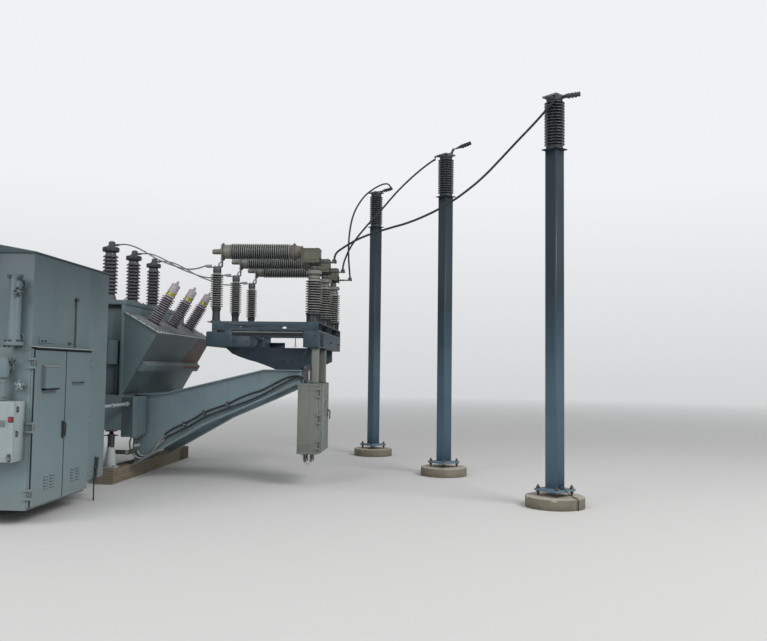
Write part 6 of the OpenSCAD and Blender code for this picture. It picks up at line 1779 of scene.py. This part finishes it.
def makeTimbers(places, width, height, runs):
    for number, x in enumerate(places):
        for part, (start, end) in enumerate(runs):
            bm = bmesh.new()
            half, top = width / 2, height
            addBlock(bm, (x - half, start, 0), (x + half, end, top))
            cuts = max(4, int((end - start) / 0.05))
            along = [edge for edge in bm.edges if abs(edge.verts[0].co.y - edge.verts[1].co.y) > 0.1]
            bmesh.ops.subdivide_edges(bm, edges=along, cuts=cuts, use_grid_fill=True)
            around = [edge for edge in bm.edges if abs(edge.verts[0].co.y - edge.verts[1].co.y) < 1e-6]
            bmesh.ops.subdivide_edges(bm, edges=around, cuts=5, use_grid_fill=True)
            middle = Vector((x, 0, top / 2))
            for vertex in bm.verts:
                point = vertex.co
                side, up = (point.x - x) / half, (point.z - top / 2) / (top / 2)
                corner = max(0.0, abs(side) + abs(up) - 1.72) / 0.28
                rough = noise.fractal(Vector((point.x * 9, point.y * 2.2, point.z * 9 + number * 4)), 1.0, 2.0,
                    4)
                chip = max(0.0, noise.noise(Vector((point.x * 3, point.y * 4.5, point.z * 3 + part * 7))) - 0.1)
                pull = 0.0016 * (1 + rough) + corner * (0.006 + 0.030 * chip)
                inwards = Vector((middle.x - point.x, 0, middle.z - point.z)).normalized() * pull
                if point.z < 0.001:
                    inwards.z = 0.0
                vertex.co = point + inwards
            makePiece(f"timber{number + 1}{part + 1}", bm, "timber" if part == 0 else "dark_timber", 0,
                "timber", stands=["cribbing"], sharpAngle=40)


makeBeamCables(**beamSettings)
makeBeamWelds(**beamSettings)
makeJacks(**jackSettings)
makeTimbers(**timberSettings)
print("gooseneck, jacks and timbers dressed")


# Switcher frame: bolts, splice plates, brackets of the hanging cabinet
frameSettings = {"right": -1.690, "near": -1.540, "far": 1.060, "rail": (2.045, 2.165), "saddleTop": 1.830,
    "saddles": (-1.075, -0.965, 0.485, 0.595), "bolt": 0.022, "hangers": (-1.480, -0.760), "hangerX": (-1.780,
    -1.690), "rodX": -1.996}


def makeFrameTrim(right, near, far, rail, saddleTop, saddles, bolt, hangers, hangerX, rodX):
    bolts, plates, rods, shadeStrips = meshes(4)
    railLow, railHigh = rail
    spots = [((-3.080, -2.905, -1.850, -1.735), (railLow + 0.032, railHigh - 0.032)), ((-2.80, -2.64),
        (1.900,)), ((-3.150, -2.880), (1.868, 1.975)), ((-1.852, -1.728), (1.870, 1.990))]
    for y, turn in ((near, 90), (far, -90)):
        for x, z in ((x, z) for xs, levels in spots for x in xs for z in levels):
            addBolt(bolts, shift(x, y, z) @ turned(turn, "X"), bolt * 0.8)
    for lane in (-1.307, -0.240, 0.827):  # stiffeners and bolts in the open side of the right channel
        for side in (-0.13, 0.13):
            addBlock(plates, (right - 0.186, lane + side - 0.005, railLow + 0.012), (right - 0.004,
                lane + side + 0.005, railHigh - 0.012))
        for dy in (-0.06, 0.06):
            addBolt(bolts, shift(right, lane + dy, 1.935) @ turned(90, "Y"), bolt)
    for y in saddles:
        addEach(addNut, bolts, flat, (-2.99, -2.90, -1.86, -1.80), (y - 0.034, y + 0.034), saddleTop - 0.016,
            0.020, 0.015)
        for x0, x1 in ((-3.045, -2.845), (-1.890, -1.762)):
            addBlock(plates, (x0, y - 0.055, saddleTop - 0.010), (x1, y + 0.055, saddleTop - 0.0005))
    # brackets that carry the hanging cabinet's posts
    for y in hangers:
        x0, x1 = hangerX
        for z, turn in ((saddleTop, 180), (1.350, 0)):
            lift = -0.012 if turn else 0.0005
            addBlock(plates, (x0 - 0.022, y - 0.022, z + lift), (x1 + 0.010, y + 0.112, z + lift + 0.011))
            for bx, by in ((x0 - 0.010, y - 0.010), (x0 - 0.010, y + 0.100)):
                addBolt(bolts, shift(bx, by, z + (lift if turn else lift + 0.011)) @ turned(turn, "X"), 0.014)
    addBlock(rods, (right + 0.0004, near + 0.01, railLow - 0.002), (right + 0.006, far - 0.01, railLow + 0.010))
    for y in (-1.30, -1.19, -1.08):
        addBlock(plates, (right + 0.0004, y - 0.008, 1.845), (right + 0.010, y + 0.008, 2.030))
    # along the near rail: a light strip of painted highlight, and below it a dark strip of painted shade
    for lift, tall, target in ((2.018, 0.012, rods), (1.984, 0.026, shadeStrips)):
        addBlock(target, (-2.830, near - 0.0016, lift), (-1.900, near - 0.0002, lift + tall))
    rodY = near + 0.035
    addRod(rods, (rodX, rodY, 1.852), (rodX, rodY, 1.966), 0.006, 12)
    addTurned(rods, [(0, 0), (11, 0), (11, 16), (0, 16)], 6, shift(rodX, rodY, 1.948))
    addTube(rods, [Vector((rodX + 0.012 * sin(a), rodY, 1.842 + 0.012 * cos(a))) for a in (2 * pi * k / 16
        for k in range(16))], 0.004, 8, closed=True)
    makePieces(
        ("frameBolts", bolts, "frame_paint", 0, "bolt_steel"),
        ("framePlates", plates, "frame_paint", 0.0012),
        ("frameRod", rods, "galvanised"),
        ("frameGaps", shadeStrips, "shadow_gap", 0, "frame_paint"))


groundSettings = {"turn": -52.0, "plateTop": 0.205, "radius": 0.006, "strapY": -3.130, "strapX": -4.080,
    "run": drawn([(84, 60), (96, 30), (122, 12), (150, 8), (176, -6), (200, -28), (232, -48), (272, -62), (310,
    -67), (336, -70), (350, -87), (355, -113), (355, -145), (354, -175), (354, -205)]), "strapRun": drawn([(287,
    500), (286, 440), (270, 300), (262, 240), (258, 120), (258, 0)])}


def makeGroundLeads(turn, plateTop, radius, strapY, strapX, run, strapRun):
    wire, lugs = meshes(2)
    place = Matrix.Translation(columnPlaces[0]) @ shift(z=plateTop) @ turned(turn)
    wirePath = smoothPath([(r, 0, z) for r, z in run], 4)
    addTube(wire, [place @ point for point in wirePath], radius, 12)
    addPlate(lugs, (0.090, -0.013), (0.136, 0.013), 0.006, 0.0003, 0.008, place)
    addBolt(lugs, place @ shift(0.104, 0, 0.008), 0.018)
    strap = [(strapX, strapY + y, z) for y, z in strapRun]
    addTube(wire, smoothPath(strap, 4), 0.008, 12)
    for phase in (0.0, pi):  # the two strands of the braid
        twist = [(strapX + 0.012, strapY + 0.272 + 0.045 * k / 12 + 0.011 * cos(k * 1.3 + phase),
            0.250 + 0.235 * k / 12) for k in range(13)]
        addTube(wire, smoothPath(twist, 3), 0.011, 12)
    face = shift(strapX - 0.010) @ faceX
    addPlate(lugs, (strapY + 0.271, 0.470), (strapY + 0.303, 0.505), 0.006, 0.0003, 0.008, face)
    addBolt(lugs, face @ shift(strapY + 0.287, 0.4875, 0.008), 0.014)
    for y, z in ((0.2645, 0.262), (0.278, 0.370)):
        addPlate(lugs, (strapY + y - 0.024, z), (strapY + y + 0.024, z + 0.018), 0.005, 0.0003, 0.0185, face)
    makePieces(
        ("groundWires", wire, "cable_jacket", 0, "dark_steel"),
        ("groundLugs", lugs, "galvanised", 0.0006), stands=["ground_leads"])


makeFrameTrim(**frameSettings)
makeGroundLeads(**groundSettings)
print("frame dressed")


# CAD nodes that are shown as they are: merged corners and softened edges
nodeBevels = {"concrete_piers": 0.004, "enclosure_body": 0.004, "enclosure_upper_bay": 0.004,
    "enclosure_side_bay": 0.004, "enclosure_roof": 0.003, "control_cabinet": 0.0025, "relay_box": 0.0015,
    "hanging_cabinet": 0.0025, "transformer_tank": 0.003, "gooseneck_beams": 0.0018, "column_tubes": 0.0,
    "column_base_plates": 0.002, "frame_rails": 0.0018, "frame_stubs": 0.0018}


def dressNodes(widths):
    for name, node in frame["nodes"].items():
        for polygon in node.data.polygons:
            polygon.use_smooth = True
        merge = node.modifiers.new("merged corners", "WELD")
        merge.merge_threshold = 0.00002
        width = widths.get(name, 0.0022)
        if width:
            softenEdges(node, width)


dressNodes(nodeBevels)
print("CAD nodes softened")


# Floor, backdrop and light
stageSettings = {"floorSize": 120.0, "fadeStart": 7.0, "fadeEnd": 34.0, "floorColour": (0.62, 0.61, 0.60, 1.0),
    "skyColour": (0.80, 0.82, 0.84, 1.0), "skyStrength": 0.62, "horizon": tone(212, 213, 214),
    "zenith": tone(240, 242, 245)}


def makeStage(floorSize, fadeStart, fadeEnd, floorColour, skyColour, skyStrength, horizon, zenith):
    half = floorSize / 2
    mesh = bpy.data.meshes.new("floor")
    mesh.from_pydata([(-half, -half, 0), (half, -half, 0), (half, half, 0), (-half, half, 0)], [], [(0, 1, 2,
        3)])
    floor = bpy.data.objects.new("floor", mesh)
    scene.collection.objects.link(floor)
    material, tree, surface = startMaterial("floor", Roughness=0.9)
    surface.inputs["Base Color"].default_value = floorColour
    surface.inputs["Specular IOR Level"].default_value = 0.1
    place = ownSpace(tree)
    far = addNode(tree, "VectorMath", {0: place}, operation="LENGTH").outputs["Value"]
    seen = addNode(tree, "LightPath").outputs["Is Camera Ray"]
    fade = times(tree, addRange(tree, far, fadeStart, fadeEnd), seen)
    clear = addNode(tree, "BsdfTransparent")
    mix = addNode(tree, "MixShader", {0: fade, 1: surface.outputs[0], 2: clear.outputs[0]})
    tree.links.new(mix.outputs[0], tree.nodes["Material Output"].inputs["Surface"])
    mesh.materials.append(material)
    world = bpy.data.worlds.new("sky")
    scene.world = world
    world.use_nodes = True
    tree = world.node_tree
    light = tree.nodes["Background"]
    light.inputs["Color"].default_value = skyColour
    light.inputs["Strength"].default_value = skyStrength
    heading = addNode(tree, "TexCoord").outputs["Generated"]
    height = axes(tree, heading)["Z"]
    backdrop = mixColours(tree, addRange(tree, height, -0.03, 0.22), horizon, zenith)
    shown = addNode(tree, "Background", {"Color": backdrop, "Strength": 1.0})
    rays = addNode(tree, "LightPath")
    mix = addNode(tree, "MixShader", {0: rays.outputs["Is Camera Ray"], 1: light.outputs[0],
        2: shown.outputs[0]})
    tree.links.new(mix.outputs[0], tree.nodes["World Output"].inputs["Surface"])


lampSettings = {"key": {"place": (9.0, -9.0, 12.0), "aim": (-2.0, -0.5, 1.5), "size": 8.0, "power": 1500.0},
    "fill": {"place": (-9.0, -13.0, 8.0), "aim": (-3.0, -1.0, 1.5), "size": 9.0, "power": 700.0}}


def makeLamps(settings):
    for name, lamp in settings.items():
        data = bpy.data.lights.new(name, "AREA")
        data.shape = "DISK"
        data.size = lamp["size"]
        data.energy = lamp["power"]
        light = bpy.data.objects.new(name, data)
        aim = Vector(lamp["aim"]) - Vector(lamp["place"])
        light.matrix_world = (Matrix.Translation(lamp["place"]) @ aim.to_track_quat("-Z",
            "Y").to_matrix().to_4x4())
        scene.collection.objects.link(light)


makeStage(**stageSettings)
makeLamps(lampSettings)
print("stage set")
